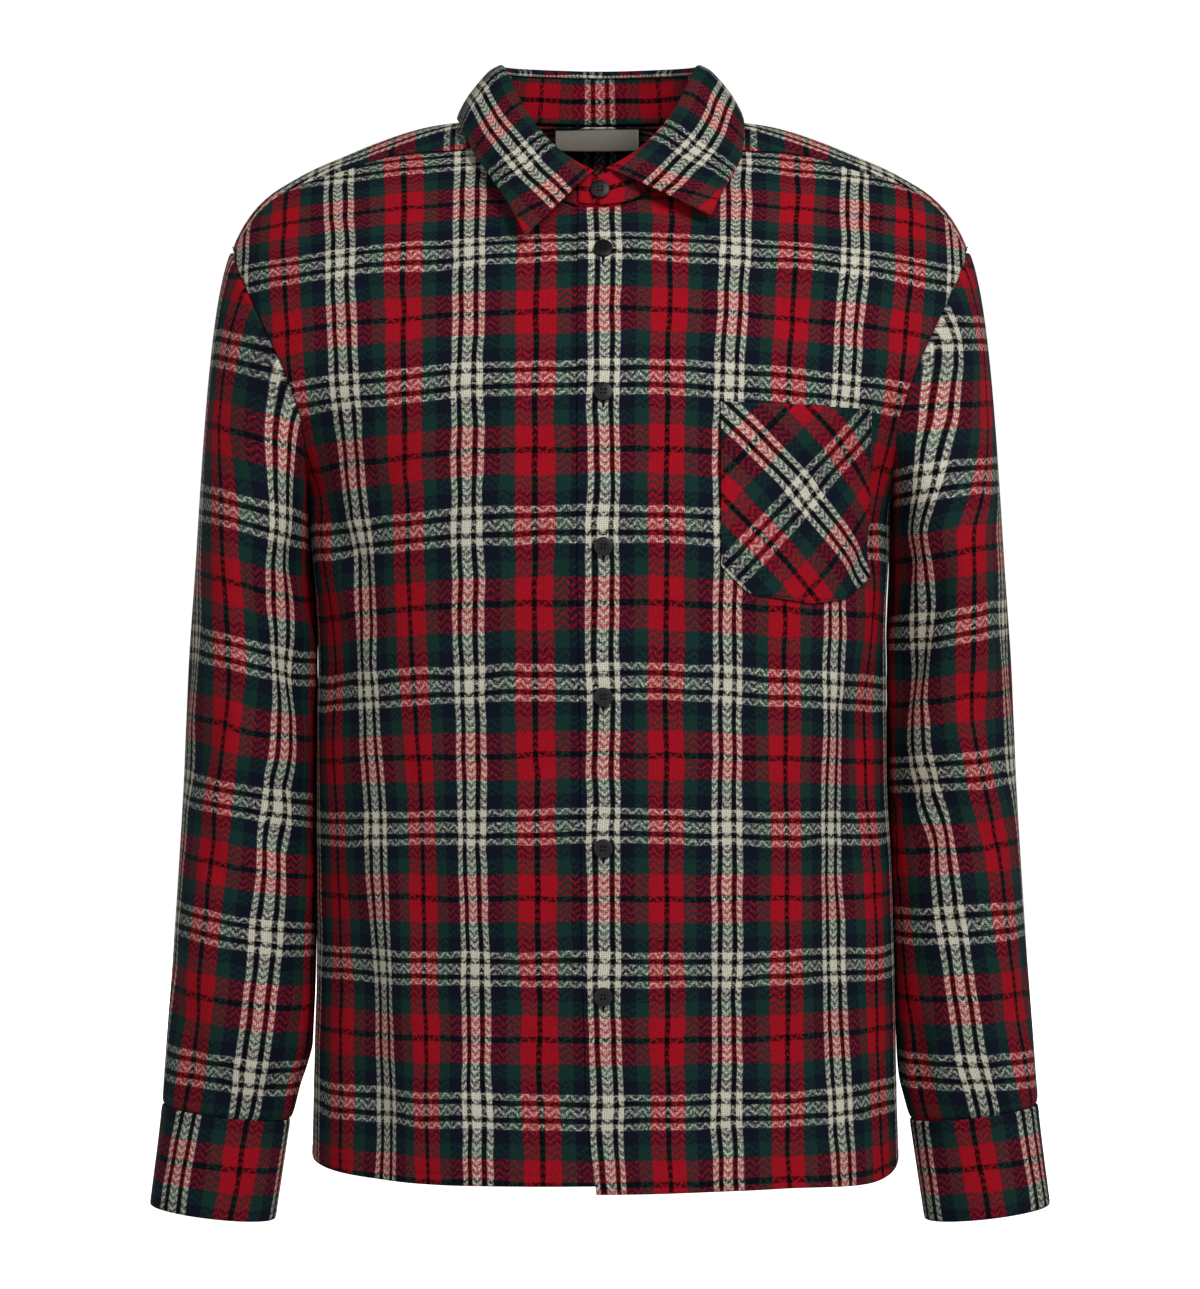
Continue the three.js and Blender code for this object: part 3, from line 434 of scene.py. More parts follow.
def walk(x):
    """Paths over the shoulder, one for each x, and the distance from the ridge along each."""
    x = np.asarray(x, float)[..., None]
    top = ridge(x)
    k = np.arange(-WALK_STEPS, WALK_STEPS + 1)
    z = top - WALK_DROP * (k / WALK_STEPS) ** 2
    path = surface_at(np.broadcast_to(x, z.shape), z, np.broadcast_to(k > 0, z.shape))
    ways = travelled(path)
    return top[..., 0], path, ways - ways[..., WALK_STEPS : WALK_STEPS + 1]


def way_at(x, z, is_back):
    """The distance over the shoulder at a height, counted backwards from the ridge."""
    top, _, ways = walk(x)
    share = np.sqrt(np.maximum(0, top - z) / WALK_DROP)
    return row_at(ways, WALK_STEPS * (1 + np.where(is_back, share, -share)))


def over_shoulder(x, way):
    """The point at a distance from the ridge."""
    _, path, ways = walk(x)
    place = place_in(ways, way)
    return np.stack([row_at(path[..., k], place) for k in range(3)], -1)


# ---- Seam lines on the torso ----
NECK_SIDE_Z = float(ridge(np.array(NECK["half"])))
NECK_FALL = 1.6  # how late the neck seam falls towards the front
NECK_ROUND = 0.9  # how round it is there, seen from the front


def neck_at(turn):
    """The neck seam, turned from the centre back (0) past the ridge (90) to the front (180)."""
    turn = np.radians(np.asarray(turn, float))
    sine = np.sin(turn)
    cosine = np.cos(turn)
    is_back = cosine >= 0
    back_z = mix(NECK_SIDE_Z, NECK["back_z"], cosine**2)
    front_z = mix(NECK_SIDE_Z, NECK["front_z"], np.maximum(0, -cosine) ** NECK_FALL)
    front_x = np.sign(sine) * np.abs(sine) ** NECK_ROUND
    x = NECK["half"] * np.where(is_back, sine, front_x)
    return x, np.where(is_back, back_z, front_z), is_back


def turn_past_centre(past):
    """The turn of the neck seam at a distance past the centre front."""
    return 180 + math.degrees(math.asin((past / NECK["half"]) ** (1 / NECK_ROUND)))


def armhole_at(turn):
    """The armhole, turned from its top (0) by the front (90) to the underarm (180)."""
    turn = np.asarray(turn, float)
    from_top = np.where(turn > 180, 360 - turn, np.abs(turn))
    angle = np.radians(turn)
    share = mix((1 - np.cos(angle)) / 2, from_top / 180, ARMHOLE_POINT)
    z = mix(ARMHOLE_TOP_Z, ARMHOLE_LOW_Z, share)
    is_back = (turn > 180) | (turn < 0)
    out = np.where(is_back, ARMHOLE_BACK_OUT * np.sin(angle) ** 2, 0)
    x = np.minimum(read(ARMHOLE, "z", "x", z) + out, read(TORSO, "z", "half", z))
    return x, z, is_back


def yoke_front(x):
    """The height of the yoke's front seam, which runs into the armhole at the shoulder's tip."""
    x = np.asarray(x, float)
    end_x, end_z, _ = armhole_at(YOKE_FRONT_TURN)
    share = smooth((x - YOKE_STRAIGHT_X) / (end_x - YOKE_STRAIGHT_X))
    drop = mix(read(YOKE_FRONT, "x", "drop", np.abs(x)), ridge(end_x) - end_z, share)
    return ridge(x) - drop


def neck_corner():
    """The turn of the neck seam at which it meets the yoke's front seam."""
    low, high = 90.0, 150.0
    for _ in range(HALVINGS):
        turn = (low + high) / 2
        x, z, _ = neck_at(turn)
        above = z > ridge(x) - read(YOKE_FRONT, "x", "drop", np.abs(x))
        low, high = (turn, high) if above else (low, turn)
    return low


NECK_CORNER = neck_corner()


def patch(edges, s, t, fade=0.0, hold=1.0):
    """A patch between four edges that meet at its corners, each a function giving two numbers.

    The top edge's shape starts to count at the share fade of the way up, and a higher hold keeps
    the shapes of the left and right edges nearer to them.
    """
    left, right, low, top = edges
    rise = smooth((t - fade) / (1 - fade)) if fade else t
    lefts, rights, lows, tops = left(t), right(t), low(s), top(s)
    found = []
    for k in range(2):
        corners = [low(np.array(0.0))[k], low(np.array(1.0))[k]]
        tips = [top(np.array(0.0))[k], top(np.array(1.0))[k]]
        west = mix(corners[0], tips[0], t)
        east = mix(corners[1], tips[1], t)
        bows = (tops[k] - mix(tips[0], tips[1], s)) * rise
        bows = bows + (lows[k] - mix(corners[0], corners[1], s)) * (1 - t)
        bows = bows + (lefts[k] - west) * (1 - s) ** hold + (rights[k] - east) * s**hold
        found.append(mix(west, east, s) + bows)
    return found


# ---- Grids of points, rows upwards and columns so that they face out ----
def normals_of(grid, loops=False):
    if loops:
        east = np.roll(grid, -1, axis=1)
        west = np.roll(grid, 1, axis=1)
    else:
        east = np.concatenate((grid[:, 1:], grid[:, -1:]), 1)
        west = np.concatenate((grid[:, :1], grid[:, :-1]), 1)
    up = np.concatenate((grid[1:], grid[-1:]), 0)
    down = np.concatenate((grid[:1], grid[:-1]), 0)
    return unit(np.cross(east - west, up - down))


def moved(grid, amount, loops=False):
    return grid + normals_of(grid, loops) * np.asarray(amount)[..., None]


FOLD_SPREAD = 1.3  # a fold runs out over the last part of its length
LAP_END_X = 70
LAP_FADE = 45


def folds_at(folds, x, z, across_unit=1.0):
    """How deep the folds of a table are at a place."""
    depth = np.zeros(np.shape(x))
    for k in range(len(folds["x"])):
        lean = math.radians(folds["lean"][k])
        dx = (x - folds["x"][k]) * across_unit
        dz = z - folds["z"][k]
        across = (dx * math.cos(lean) + dz * math.sin(lean)) / folds["width"][k]
        along = (dz * math.cos(lean) - dx * math.sin(lean)) / (folds["length"][k] / 2)
        reach = smooth(FOLD_SPREAD * (1 - np.abs(along)))
        depth = depth + folds["depth"][k] * np.exp(-across * across) * reach
    return depth


def lap_lift(x):
    """How far the left front is lifted to lie over the right one."""
    return (WALL + SEAM_GAP) * smooth((LAP_END_X - x) / LAP_FADE)


WARP_REPEAT = 80.0
WEFT_REPEAT = 89.0
# Where the middles of the white warp stripes of the fronts lie, from the wearer's right.
FRONT_STRIPES = table(
    "z x0 x1 x2 x3 x4",
    (-690, -134, -76, 9, 80, 153),
    (-623, -135.5, -77, 5.5, 78.5, 152),
    (-535, -138, -78, 2.5, 78.4, 150),
    (-450, -140, -79.5, 2.5, 78.4, 147.7),
    (-358, -146, -81, 2.5, 78.3, 146.5),
    (-272, -152.5, -82, 3, 78.3, 147.5),
    (-173, -159.5, -82, 3, 79.5, 153),
    (-87, -164.5, -82, 3, 85.3, 160.7),
    (-20, -168, -82, 3, 87, 164),
)
# The heights of the white weft stripes of the torso, counted upwards.
BANDS = table(
    "z count",
    (-800.5, -2), (-712, -1), (-623.5, 0), (-535.7, 1), (-447.4, 2), (-359.6, 3), (-261.5, 4),
    (-171, 5), (-86.5, 6), (-25, 7), (30, 8),
)
BAND_DROOP = 8.0  # the bands hang this much lower at the sides of the chest
DROOP_X = 165
DROOP_LOW_Z = -620
DROOP_RISE = 300
SLEEVE_BANDS = {
    1: table(
        "z count tilt",
        (-795, -2, 0), (-702, -1, 0), (-608.5, 0, 0), (-514, 1, 2.5), (-416, 2, 4), (-324, 3, 6),
        (-232, 4, 5), (-140, 5, 4.5), (-50, 6, 4),
    ),
    -1: table(
        "z count tilt",
        (-795, -2, 5), (-702, -1, 5), (-609, 0, 5), (-517.6, 1, 8), (-435.6, 2, 8),
        (-342.5, 3, 9.5), (-254.5, 4, 10), (-158, 5, 14), (-66, 6, 14),
    ),
}
SLEEVE_STRIPE = {
    1: table(
        "z turn",
        (-640, 84), (-611, 90), (-565, 97), (-514, 105), (-465, 112), (-421, 126), (-365, 133),
        (-308, 131), (-270, 130), (-240, 115), (-213, 99), (-195, 88), (-176, 80), (-142, 66),
    ),
    -1: table(
        "z turn",
        (-640, 109), (-615, 111), (-523, 118), (-441, 125), (-346, 133), (-257, 124), (-188, 105),
        (-132, 98),
    ),
}
CUFF_STRIPE_TURN = {1: 155, -1: 176}
CUFF_LINE_Z = -669.5


def chart_of_front(around, x, z):
    lines = [round_at(read(FRONT_STRIPES, "z", f"x{k}", z), z) for k in range(5)]
    across = around - lines[0] - 2 * WARP_REPEAT
    for k in range(4):
        share = (around - lines[k]) / (lines[k + 1] - lines[k])
        across = np.where(around > lines[k], (k - 2 + share) * WARP_REPEAT, across)
    across = np.where(around > lines[4], around - lines[4] + 2 * WARP_REPEAT, across)
    droop = BAND_DROOP * (x / DROOP_X) ** 2 * smooth((z - DROOP_LOW_Z) / DROOP_RISE)
    return np.stack((across, WEFT_REPEAT * line(BANDS, "z", "count", z + droop)), -1)


# ---- The pieces, each a grid of places, lifts from them and places on the cloth ----
SEAM = SEAM_GAP / 2  # from the side seam to each of its edges
NECK_SHARE = 0.36  # of a front's top edge, which is neck seam
SIDE_SHARE = 0.65  # of its outer edge, which is side seam
HEM_ROWS = (0, 2, 6.2, 7.2, 8.2, 11)  # the heights of the rows that shape the hem
HEM_END = 16
HEM_ROW = 3  # where the hem is sewn
EDGE_ROW = 1.3
SIDE_ROWS = 68
FRONT_LENGTH = 620
BACK_LENGTH = 560
SEWN_IN = 0.4  # how far a row of stitches pulls the cloth in


def shares_to(count, first, last):
    """Even shares from 0 to 1, with one more close to each end."""
    return np.concatenate(([0, first], np.linspace(0, 1, count)[1:-1], [last, 1]))


def body_rows(length, arm_rows):
    """Shares of the way up a front or the back: close at the hem, then even on each stretch."""
    return np.concatenate((
        np.array(HEM_ROWS) / length,
        np.linspace(HEM_END / length, SIDE_SHARE, SIDE_ROWS),
        np.linspace(SIDE_SHARE, 1, arm_rows)[1:-1],
        [1 - EDGE_ROW / length, 1],
    ))


FRONT_ROWS = body_rows(FRONT_LENGTH, 49)
BACK_ROWS = body_rows(BACK_LENGTH, 31)
FRONT_WIDTH = 299
PLACKET_COLUMNS = (0, 1.3, 3.5, 6.5, 11, 16, 21, 25, 26.3, 27, 27.7, 29.2)
PLACKET_EDGE = 9  # the column where the doubled edge of the left front ends
EVEN_START = 33  # where the even columns start
ARM_COLUMN = 1.5 / 260  # the width of the last column, along the side and the armhole
FRONT_COLUMNS = np.concatenate((
    np.array(PLACKET_COLUMNS) / FRONT_WIDTH,
    np.linspace(EVEN_START / FRONT_WIDTH, NECK_SHARE, 15),
    np.linspace(NECK_SHARE, 1, 37)[1:-1],
    [1 - ARM_COLUMN, 1],
))


def front_edges(hem, past):
    corner_x = neck_at(NECK_CORNER)[0]
    end_x = armhole_at(YOKE_FRONT_TURN)[0]
    side_hem = side_round(SIDE_HEM_Z) - SEAM
    neck_start = turn_past_centre(float(past(NECK["front_z"])))

    def top(s):
        neck_x, neck_z, _ = neck_at(mix(neck_start, NECK_CORNER, np.minimum(1, s / NECK_SHARE)))
        x = mix(corner_x, end_x, beyond(s, NECK_SHARE))
        x = np.where(s <= NECK_SHARE, neck_x, x)
        z = np.where(s <= NECK_SHARE, neck_z, yoke_front(x))
        return np.minimum(round_at(x, z), side_round(z)), z

    def right(t):
        side_z = mix(SIDE_HEM_Z, ARMHOLE_LOW_Z, np.minimum(1, t / SIDE_SHARE))
        turn = mix(180, YOKE_FRONT_TURN, beyond(t, SIDE_SHARE))
        x, arm_z, _ = armhole_at(turn)
        z = np.where(t <= SIDE_SHARE, side_z, arm_z)
        limit = side_round(z) - SEAM
        return np.where(t <= SIDE_SHARE, limit, np.minimum(round_at(x, z), limit)), z

    def low(s):
        around = mix(-past(hem["z"][0]), side_hem, s)
        return around, read(hem, "round", "z", np.maximum(0, around))

    def left(t):
        z = mix(low(np.array(0.0))[1], top(np.array(0.0))[1], t)
        return -past(z), z

    return left, right, low, top


def past_left(z):
    return read(LEFT_EDGE, "z", "past", np.asarray(z, float))


def past_right(z):
    return np.full(np.shape(z), BUTTON_STAND)


CREASE_FADE = 30
FRONT_CREASE_END = -690
BACK_CREASE_END = -680


def front_folds(x, z):
    """The small creases keep clear of the buttons and the hem."""
    clear = smooth(np.abs(x - BUTTON_X) / CREASE_FADE) * smooth((z - FRONT_CREASE_END) / CREASE_FADE)
    return folds_at(FRONT_FOLDS, x, z) + clear * folds_at(FRONT_CREASES, x, z)


def front_grid(side):
    edges = front_edges(*((HEM_LEFT, past_left) if side > 0 else (HEM_RIGHT, past_right)))
    columns = FRONT_COLUMNS if side > 0 else FRONT_COLUMNS[::-1]
    s, t = np.meshgrid(columns, FRONT_ROWS)
    around, z = patch(edges, s, t, fade=SIDE_SHARE)
    plain = point_round(side * around, z)
    lift = lap_lift(plain[..., 0]) if side > 0 else np.zeros(z.shape)
    chart = chart_of_front(side * around, plain[..., 0], z)
    lift = lift - front_folds(plain[..., 0], z)
    lift[HEM_ROW] -= SEWN_IN
    if side > 0:
        lift[:, PLACKET_EDGE] -= SEWN_IN
    return plain, lift, chart


BACK_WIDTH = 480
BACK_COLUMNS = shares_to(87, EDGE_ROW / BACK_WIDTH, 1 - EDGE_ROW / BACK_WIDTH)


def back_grid():
    def left(t):
        side_z = mix(SIDE_HEM_Z, ARMHOLE_LOW_Z, np.minimum(1, t / SIDE_SHARE))
        x, arm_z, _ = armhole_at(mix(180, 360 - YOKE_BACK_TURN, beyond(t, SIDE_SHARE)))
        z = np.where(t <= SIDE_SHARE, side_z, arm_z)
        limit = side_round(z) + SEAM
        return np.where(t <= SIDE_SHARE, limit, np.maximum(round_at(x, z, True), limit)), z

    def right(t):
        around, z = left(t)
        return whole_round(z) - around, z

    def across(t, s):
        return mix(left(np.array(t))[0], right(np.array(t))[0], s)

    def low(s):
        half = whole_round(SIDE_HEM_Z) / 2
        around = across(0.0, s)
        return around, read(HEM_BACK, "round", "z", half - np.abs(around - half))

    def top(s):
        return across(1.0, s), np.full(np.shape(s), float(left(np.array(1.0))[1]))

    s, t = np.meshgrid(BACK_COLUMNS, BACK_ROWS)
    around, z = patch((left, right, low, top), s, t, hold=3)
    whole = whole_round(z)
    plain = point_round(np.where(around <= whole / 2, around, around - whole), z)
    chart = np.stack((whole / 2 - around, WEFT_REPEAT * line(BANDS, "z", "count", z)), -1)
    lift = -folds_at(BACK_FOLDS, plain[..., 0], z)
    clear = smooth((z - BACK_CREASE_END) / CREASE_FADE)
    lift = lift - clear * folds_at(BACK_CREASES, plain[..., 0], z)
    lift[HEM_ROW] -= SEWN_IN
    return plain, lift, chart


YOKE_SHIFT = 20.0  # of its check, from the ridge
YOKE_BACK_SHARE = 0.7
YOKE_RIDGE_TURN = 80
YOKE_ROWS = 31
BEFORE_MIDDLE = 0.001  # keeps each half of the back seam on its own side of the middle
YOKE_HALF = np.concatenate((
    np.linspace(0, YOKE_BACK_SHARE, 37),
    np.linspace(YOKE_BACK_SHARE, 1, 15)[1:],
))
YOKE_COLUMNS = np.concatenate(((1 - YOKE_HALF[::-1]) / 2, (1 + YOKE_HALF[1:]) / 2))


def yoke_grid():
    front_x = armhole_at(YOKE_FRONT_TURN)[0] - SEAM_GAP
    back_x, back_z, _ = armhole_at(360 - YOKE_BACK_TURN)
    middle = whole_round(back_z) / 2
    end = round_at(back_x, back_z, True)
    corner_x = neck_at(NECK_CORNER)[0]

    def front_seam(t):
        x = mix(front_x, corner_x, t)
        return x, way_at(x, yoke_front(x), False) + 3 * SEAM_GAP

    def outer(share):
        place = mix(middle, end, np.minimum(1, share / YOKE_BACK_SHARE)) - BEFORE_MIDDLE
        seam_x = point_round(place, np.full(np.shape(place), float(back_z)))[..., 0]
        seam_way = way_at(seam_x, back_z, True) - 2 * SEAM_GAP
        past_back = beyond(share, YOKE_BACK_SHARE)
        x, z, is_back = armhole_at(mix(-YOKE_BACK_TURN, YOKE_FRONT_TURN, past_back))
        gap = mix(-2, 3, past_back) * SEAM_GAP
        arm_way = way_at(x - SEAM_GAP, z, is_back) + gap
        is_seam = share <= YOKE_BACK_SHARE
        return np.where(is_seam, seam_x, x - SEAM_GAP), np.where(is_seam, seam_way, arm_way)

    def neck(share):
        past_back = beyond(share, YOKE_BACK_SHARE)
        back_turn = YOKE_RIDGE_TURN * share / YOKE_BACK_SHARE
        front_turn = mix(YOKE_RIDGE_TURN, NECK_CORNER, past_back)
        x, z, is_back = neck_at(np.where(share <= YOKE_BACK_SHARE, back_turn, front_turn))
        return x, way_at(x, z, is_back) + 3 * SEAM_GAP * past_back

    def both_ways(half):
        def found(s):
            x, way = half(np.abs(1 - 2 * s))
            return np.where(s < 0.5, x, -x), way

        return found

    def right(t):
        x, way = front_seam(t)
        return -x, way

    s, t = np.meshgrid(YOKE_COLUMNS, np.linspace(0, 1, YOKE_ROWS))
    x, way = patch((front_seam, right, both_ways(outer), both_ways(neck)), s, t, hold=8)
    plain = over_shoulder(x, way)
    return plain, np.zeros(x.shape), np.stack((way + YOKE_SHIFT, x), -1)


def sleeve_ring(turn, z):
    column = read_all(SLEEVE, "z", z)
    half = (column["outer"] - column["inner"]) / 2
    angle = np.radians(turn)
    lean = np.tan(np.radians(column["lean"]))
    return points(
        column["inner"] + half + half * np.cos(angle),
        column["middle_y"] - column["half_depth"] * np.sin(angle),
        z + half * np.cos(angle) * lean,
    )


CAP_BOW = 0.6
# The way the cap leaves the armhole, as steps outwards and up (below 0, down): at its top, and at
# its front and back.
CAP_TOP_WAY = (0.45, -0.9)
CAP_SIDE_WAY = (0.75, -0.4)
CAP_SIDE_LEAN = 0.5  # how far it turns in there
CAP_HUG = 0.75  # how closely it keeps to that way at the top
CAP_LOWER_STEP = 10.0  # how far below the cap's end the way into the tube is read


def cap_point(turn, t):
    """A point of the sleeve's cap, from the armhole (t 0) to the tube below it (t 1)."""
    x, z, is_back = armhole_at(turn)
    start = surface_at(x, z, is_back)
    end = sleeve_ring(turn, np.full(np.shape(turn), CAP_END_Z))
    towards = end - start
    length = np.linalg.norm(towards, axis=-1, keepdims=True) * CAP_BOW
    angle = np.radians(turn)
    bend = np.sin(angle) ** 2
    outwards, up = (mix(a, b, bend) for a, b in zip(CAP_TOP_WAY, CAP_SIDE_WAY))
    out = unit(points(outwards, CAP_SIDE_LEAN * np.sin(angle), up))
    hug = CAP_HUG * np.cos(angle / 2)[..., None] ** 2
    leave = unit(mix(unit(towards), out, hug))
    start = start + leave * 4 * SEAM_GAP
    start[..., 0] += SEAM_GAP * (1 - np.cos(angle))
    lower = unit(sleeve_ring(turn, np.full(np.shape(turn), CAP_END_Z - CAP_LOWER_STEP)) - end)
    t = t[..., None]
    s = t * t * (3 - 2 * t)
    bowed = leave * length * t * (1 - t) ** 2 - lower * length * t * t * (1 - t)
    return mix(start, end, s) + bowed


ARC_START = -200
ARC_STEP = 2
ARC_STEPS = 380


def arc_on_sleeve(turn, z):
    """The distance round the sleeve to a turn, always from the same start."""
    turns = np.radians(ARC_START + ARC_STEP * np.arange(1.0, ARC_STEPS + 1))
    half = ((read(SLEEVE, "z", "outer", z) - read(SLEEVE, "z", "inner", z)) / 2)[..., None]
    depth = read(SLEEVE, "z", "half_depth", z)[..., None]
    steps = np.hypot(half * np.sin(turns), depth * np.cos(turns)) * np.radians(ARC_STEP)
    return row_at(summed(steps), (turn - ARC_START) / ARC_STEP)


def chart_of_sleeve(side, turn, z):
    stripe = read(SLEEVE_STRIPE[side], "z", "turn", z)
    stripe = np.where(turn > stripe + 180, stripe + 360, stripe)
    bands = SLEEVE_BANDS[side]
    level = z - line(bands, "z", "tilt", z) * np.cos(np.radians(turn))
    across = side * (arc_on_sleeve(turn, z) - arc_on_sleeve(stripe, z))
    return np.stack((across, WEFT_REPEAT * line(bands, "z", "count", level)), -1)


def flipped(grid, side):
    return grid * np.array((side, 1, 1))


# The seam allowance of the sleeve, under the edge of the body: how far back and how deep each
# row lies.
ARMHOLE_TUCK = ((0.9, 1.8), (1.4, 3.4), (4.5, 4.2))
CHEST_MIDDLE = np.array((0, 0, -150.0))


def armhole_tuck(turn, last):
    x, z, is_back = armhole_at(turn)
    seam = surface_at(x, z, is_back)
    around = surface_at(x, z + 1, is_back) - surface_at(x, z - 1, is_back)
    across = surface_at(x - 1, z, is_back) - seam
    out = np.cross(around, across)
    out = unit(out * np.sign((out * (seam - CHEST_MIDDLE)).sum(-1))[..., None])
    back = unit(seam - last + out * ((last - seam) * out).sum(-1)[..., None])
    return np.array([last + back * b - out * d for b, d in ARMHOLE_TUCK])


# How far the inner side of each sleeve swells to rest against the body.
AT_REST = {
    1: table(
        "z reach",
        (-700, 0), (-640, 0), (-619, 3), (-595, 3.6), (-540, 2.4), (-450, 3), (-330, 5.4),
        (-270, 3.5), (-190, 0), (0, 0),
    ),
    -1: table(
        "z reach",
        (-700, 0), (-640, 1), (-619, 3.6), (-595, 9.6), (-540, 8.6), (-450, 7), (-330, 8),
        (-270, 5), (-190, 0), (0, 0),
    ),
}


INNER_START = 0.1
INNER_FADE = 0.75


def rest_on_body(side, turn, z):
    inner = smooth((-np.cos(np.radians(turn)) - INNER_START) / INNER_FADE)
    return inner * line(AT_REST[side], "z", "reach", z)


SLEEVE_COLUMNS = 81
SLEEVE_ROWS = 76
CAP_ROWS = 33


def sleeve_grid(side):
    turns = 180 + np.linspace(0, 360, SLEEVE_COLUMNS)
    tube = np.linspace(CUFF_TOP_Z + SEAM_GAP, CAP_END_Z, SLEEVE_ROWS)[:-1]
    cap = np.linspace(1, 0, CAP_ROWS)
    turn, z = np.meshgrid(turns, tube)
    low = sleeve_ring(turn, z)
    cap_turn, t = np.meshgrid(turns % 360, cap)
    high = cap_point(cap_turn, t)
    tuck = armhole_tuck(turns % 360, high[-1])
    plain = np.concatenate((low, high, tuck))
    turn = np.concatenate((turn, np.meshgrid(turns, np.arange(len(cap) + len(tuck)))[0]))
    level = plain[..., 2]
    depth = sleeve_folds(turn % 360, level) - rest_on_body(side, turn, level)
    chart = chart_of_sleeve(side, turn, level)
    plain = flipped(plain, side)
    if side > 0:
        plain, depth, chart = plain[:, ::-1], depth[:, ::-1], chart[:, ::-1]
    return plain, -depth, chart


def sleeve_folds(turn, z):
    depth = folds_at(SLEEVE_FOLDS, turn, z, SLEEVE_UNIT)
    depth = depth + folds_at(SLEEVE_CREASES, turn, z, SLEEVE_UNIT)
    return smooth((z - CUFF_TOP_Z) / CUFF_FADE) * depth


def cuff_point(turn, z, lift):
    p = sleeve_ring(turn, z)
    middle = (sleeve_ring(turn, z) + sleeve_ring(turn + 180, z)) / 2
    out = (p - middle) * np.array((1, 1, 0))
    return p + unit(out) * np.asarray(lift)[..., None]


CUFF_COLUMNS = 97
CUFF_ROWS = 19
SLIT_COLUMNS = 13
SLIT_ROWS = 41
SLIT_RISE = 3  # of the placket's lower end above the cuff


def turns_facing_out(side, first, last, count):
    """Turns in the order that makes a grid face out, as the right sleeve mirrors the left one."""
    return np.linspace(last, first, count) if side > 0 else np.linspace(first, last, count)


def cuff_grid(side):
    first = CUFF_LAP_TURN - 360 - CUFF_LAP / 2
    last = CUFF_LAP_TURN + CUFF_LAP / 2
    turns = turns_facing_out(side, first, last, CUFF_COLUMNS)
    turn, z = np.meshgrid(turns, np.linspace(CUFF_END_Z, CUFF_TOP_Z - SEAM_GAP, CUFF_ROWS))
    lift = CUFF_LIFT * smooth((turn - last + 2 * CUFF_LAP) / CUFF_LAP)
    plain = flipped(cuff_point(turn, z, lift), side)
    stripe = np.full(z.shape, CUFF_STRIPE_TURN[side])
    across = side * (arc_on_sleeve(turn, z) - arc_on_sleeve(stripe, z))
    chart = np.stack((across, z - CUFF_LINE_Z + WEFT_REPEAT / 2), -1)
    return plain, np.zeros(z.shape), chart


def placket_grid(side):
    half = PLACKET["width"] / 2 / SLEEVE_UNIT
    turns = turns_facing_out(side, CUFF_LAP_TURN - half, CUFF_LAP_TURN + half, SLIT_COLUMNS)
    low = CUFF_TOP_Z + SLIT_RISE
    turn, z = np.meshgrid(turns, np.linspace(low, low + PLACKET["length"], SLIT_ROWS))
    plain = flipped(sleeve_ring(turn, z), side)
    lift = WALL + LAID_GAP - sleeve_folds(turn, z)
    return plain, lift, chart_of_sleeve(side, turn, z) + np.array((PLACKET_SHIFT, 0))


STAND_LAP_TURN = 140
STAND_LAP_FADE = 26
STAND_COLUMNS = 121
STAND_ROWS = 9
STAND_TOP_SHARE = 1.05  # the cloth runs on a little under the fold of the collar
STAND_RADIUS = 70.0


def stand_lap(turn):
    return (FIRM_WALL + LAID_GAP) * smooth((turn - STAND_LAP_TURN) / STAND_LAP_FADE)


def stand_point(turn, share):
    turn = np.asarray(turn, float)
    x, z, is_back = neck_at(turn)
    seam = surface_at(x, z, is_back)
    out = unit((seam - np.array((0, NECK["middle_y"], 0))) * np.array((1, 1, 0)))
    place = np.minimum(180, np.abs(turn))
    up = unit(np.array((0, 0, 1)) - out * read(STAND, "turn", "lean", place)[..., None])
    lift = 2 * SEAM_GAP + np.where(turn > 90, lap_lift(x), 0)
    height = lift + share * read(STAND, "turn", "height", place)
    return seam + up * height[..., None] + out * stand_lap(turn)[..., None]


def stand_grid():
    end = turn_past_centre(BUTTON_STAND)
    columns = np.linspace(end, -end, STAND_COLUMNS)
    turn, share = np.meshgrid(columns, np.linspace(0, STAND_TOP_SHARE, STAND_ROWS))
    plain = stand_point(turn, share)
    height = read(STAND, "turn", "height", np.minimum(180, np.abs(turn)))
    up = (share - 0.5) * height + WARP_REPEAT / 2
    return plain, np.zeros(turn.shape), np.stack((up, np.radians(turn) * STAND_RADIUS), -1)


LEAF_COLUMNS = 141
LEAF_SHARES = (0.03, 0.07, 0.12, 0.18, 0.25, 0.33, 0.41, 0.5, 0.58, 0.66, 0.74, 0.82, 0.9, 0.96, 1)
LEAF_POINT_BAND = 49.0  # from a point of the collar to the middle of its nearest white stripes
LEAF_REPEATS = 6
LEAF_SPREAD = 15.0  # how much further the outer edge reaches along the cloth than the fold
# The fold over the stand: how far in and up each row lies from the stand's top, and the place of
# the inner rows across the warp stripes.
LEAF_FOLD = ((-4.2, -1.0), (-4.6, 0.9), (-4.2, 2.8), (-2.9, 4.1), (-1.0, 4.5))
LEAF_FOLD_STRIPES = (-7.0, -9.5, -12.5, -16.5)


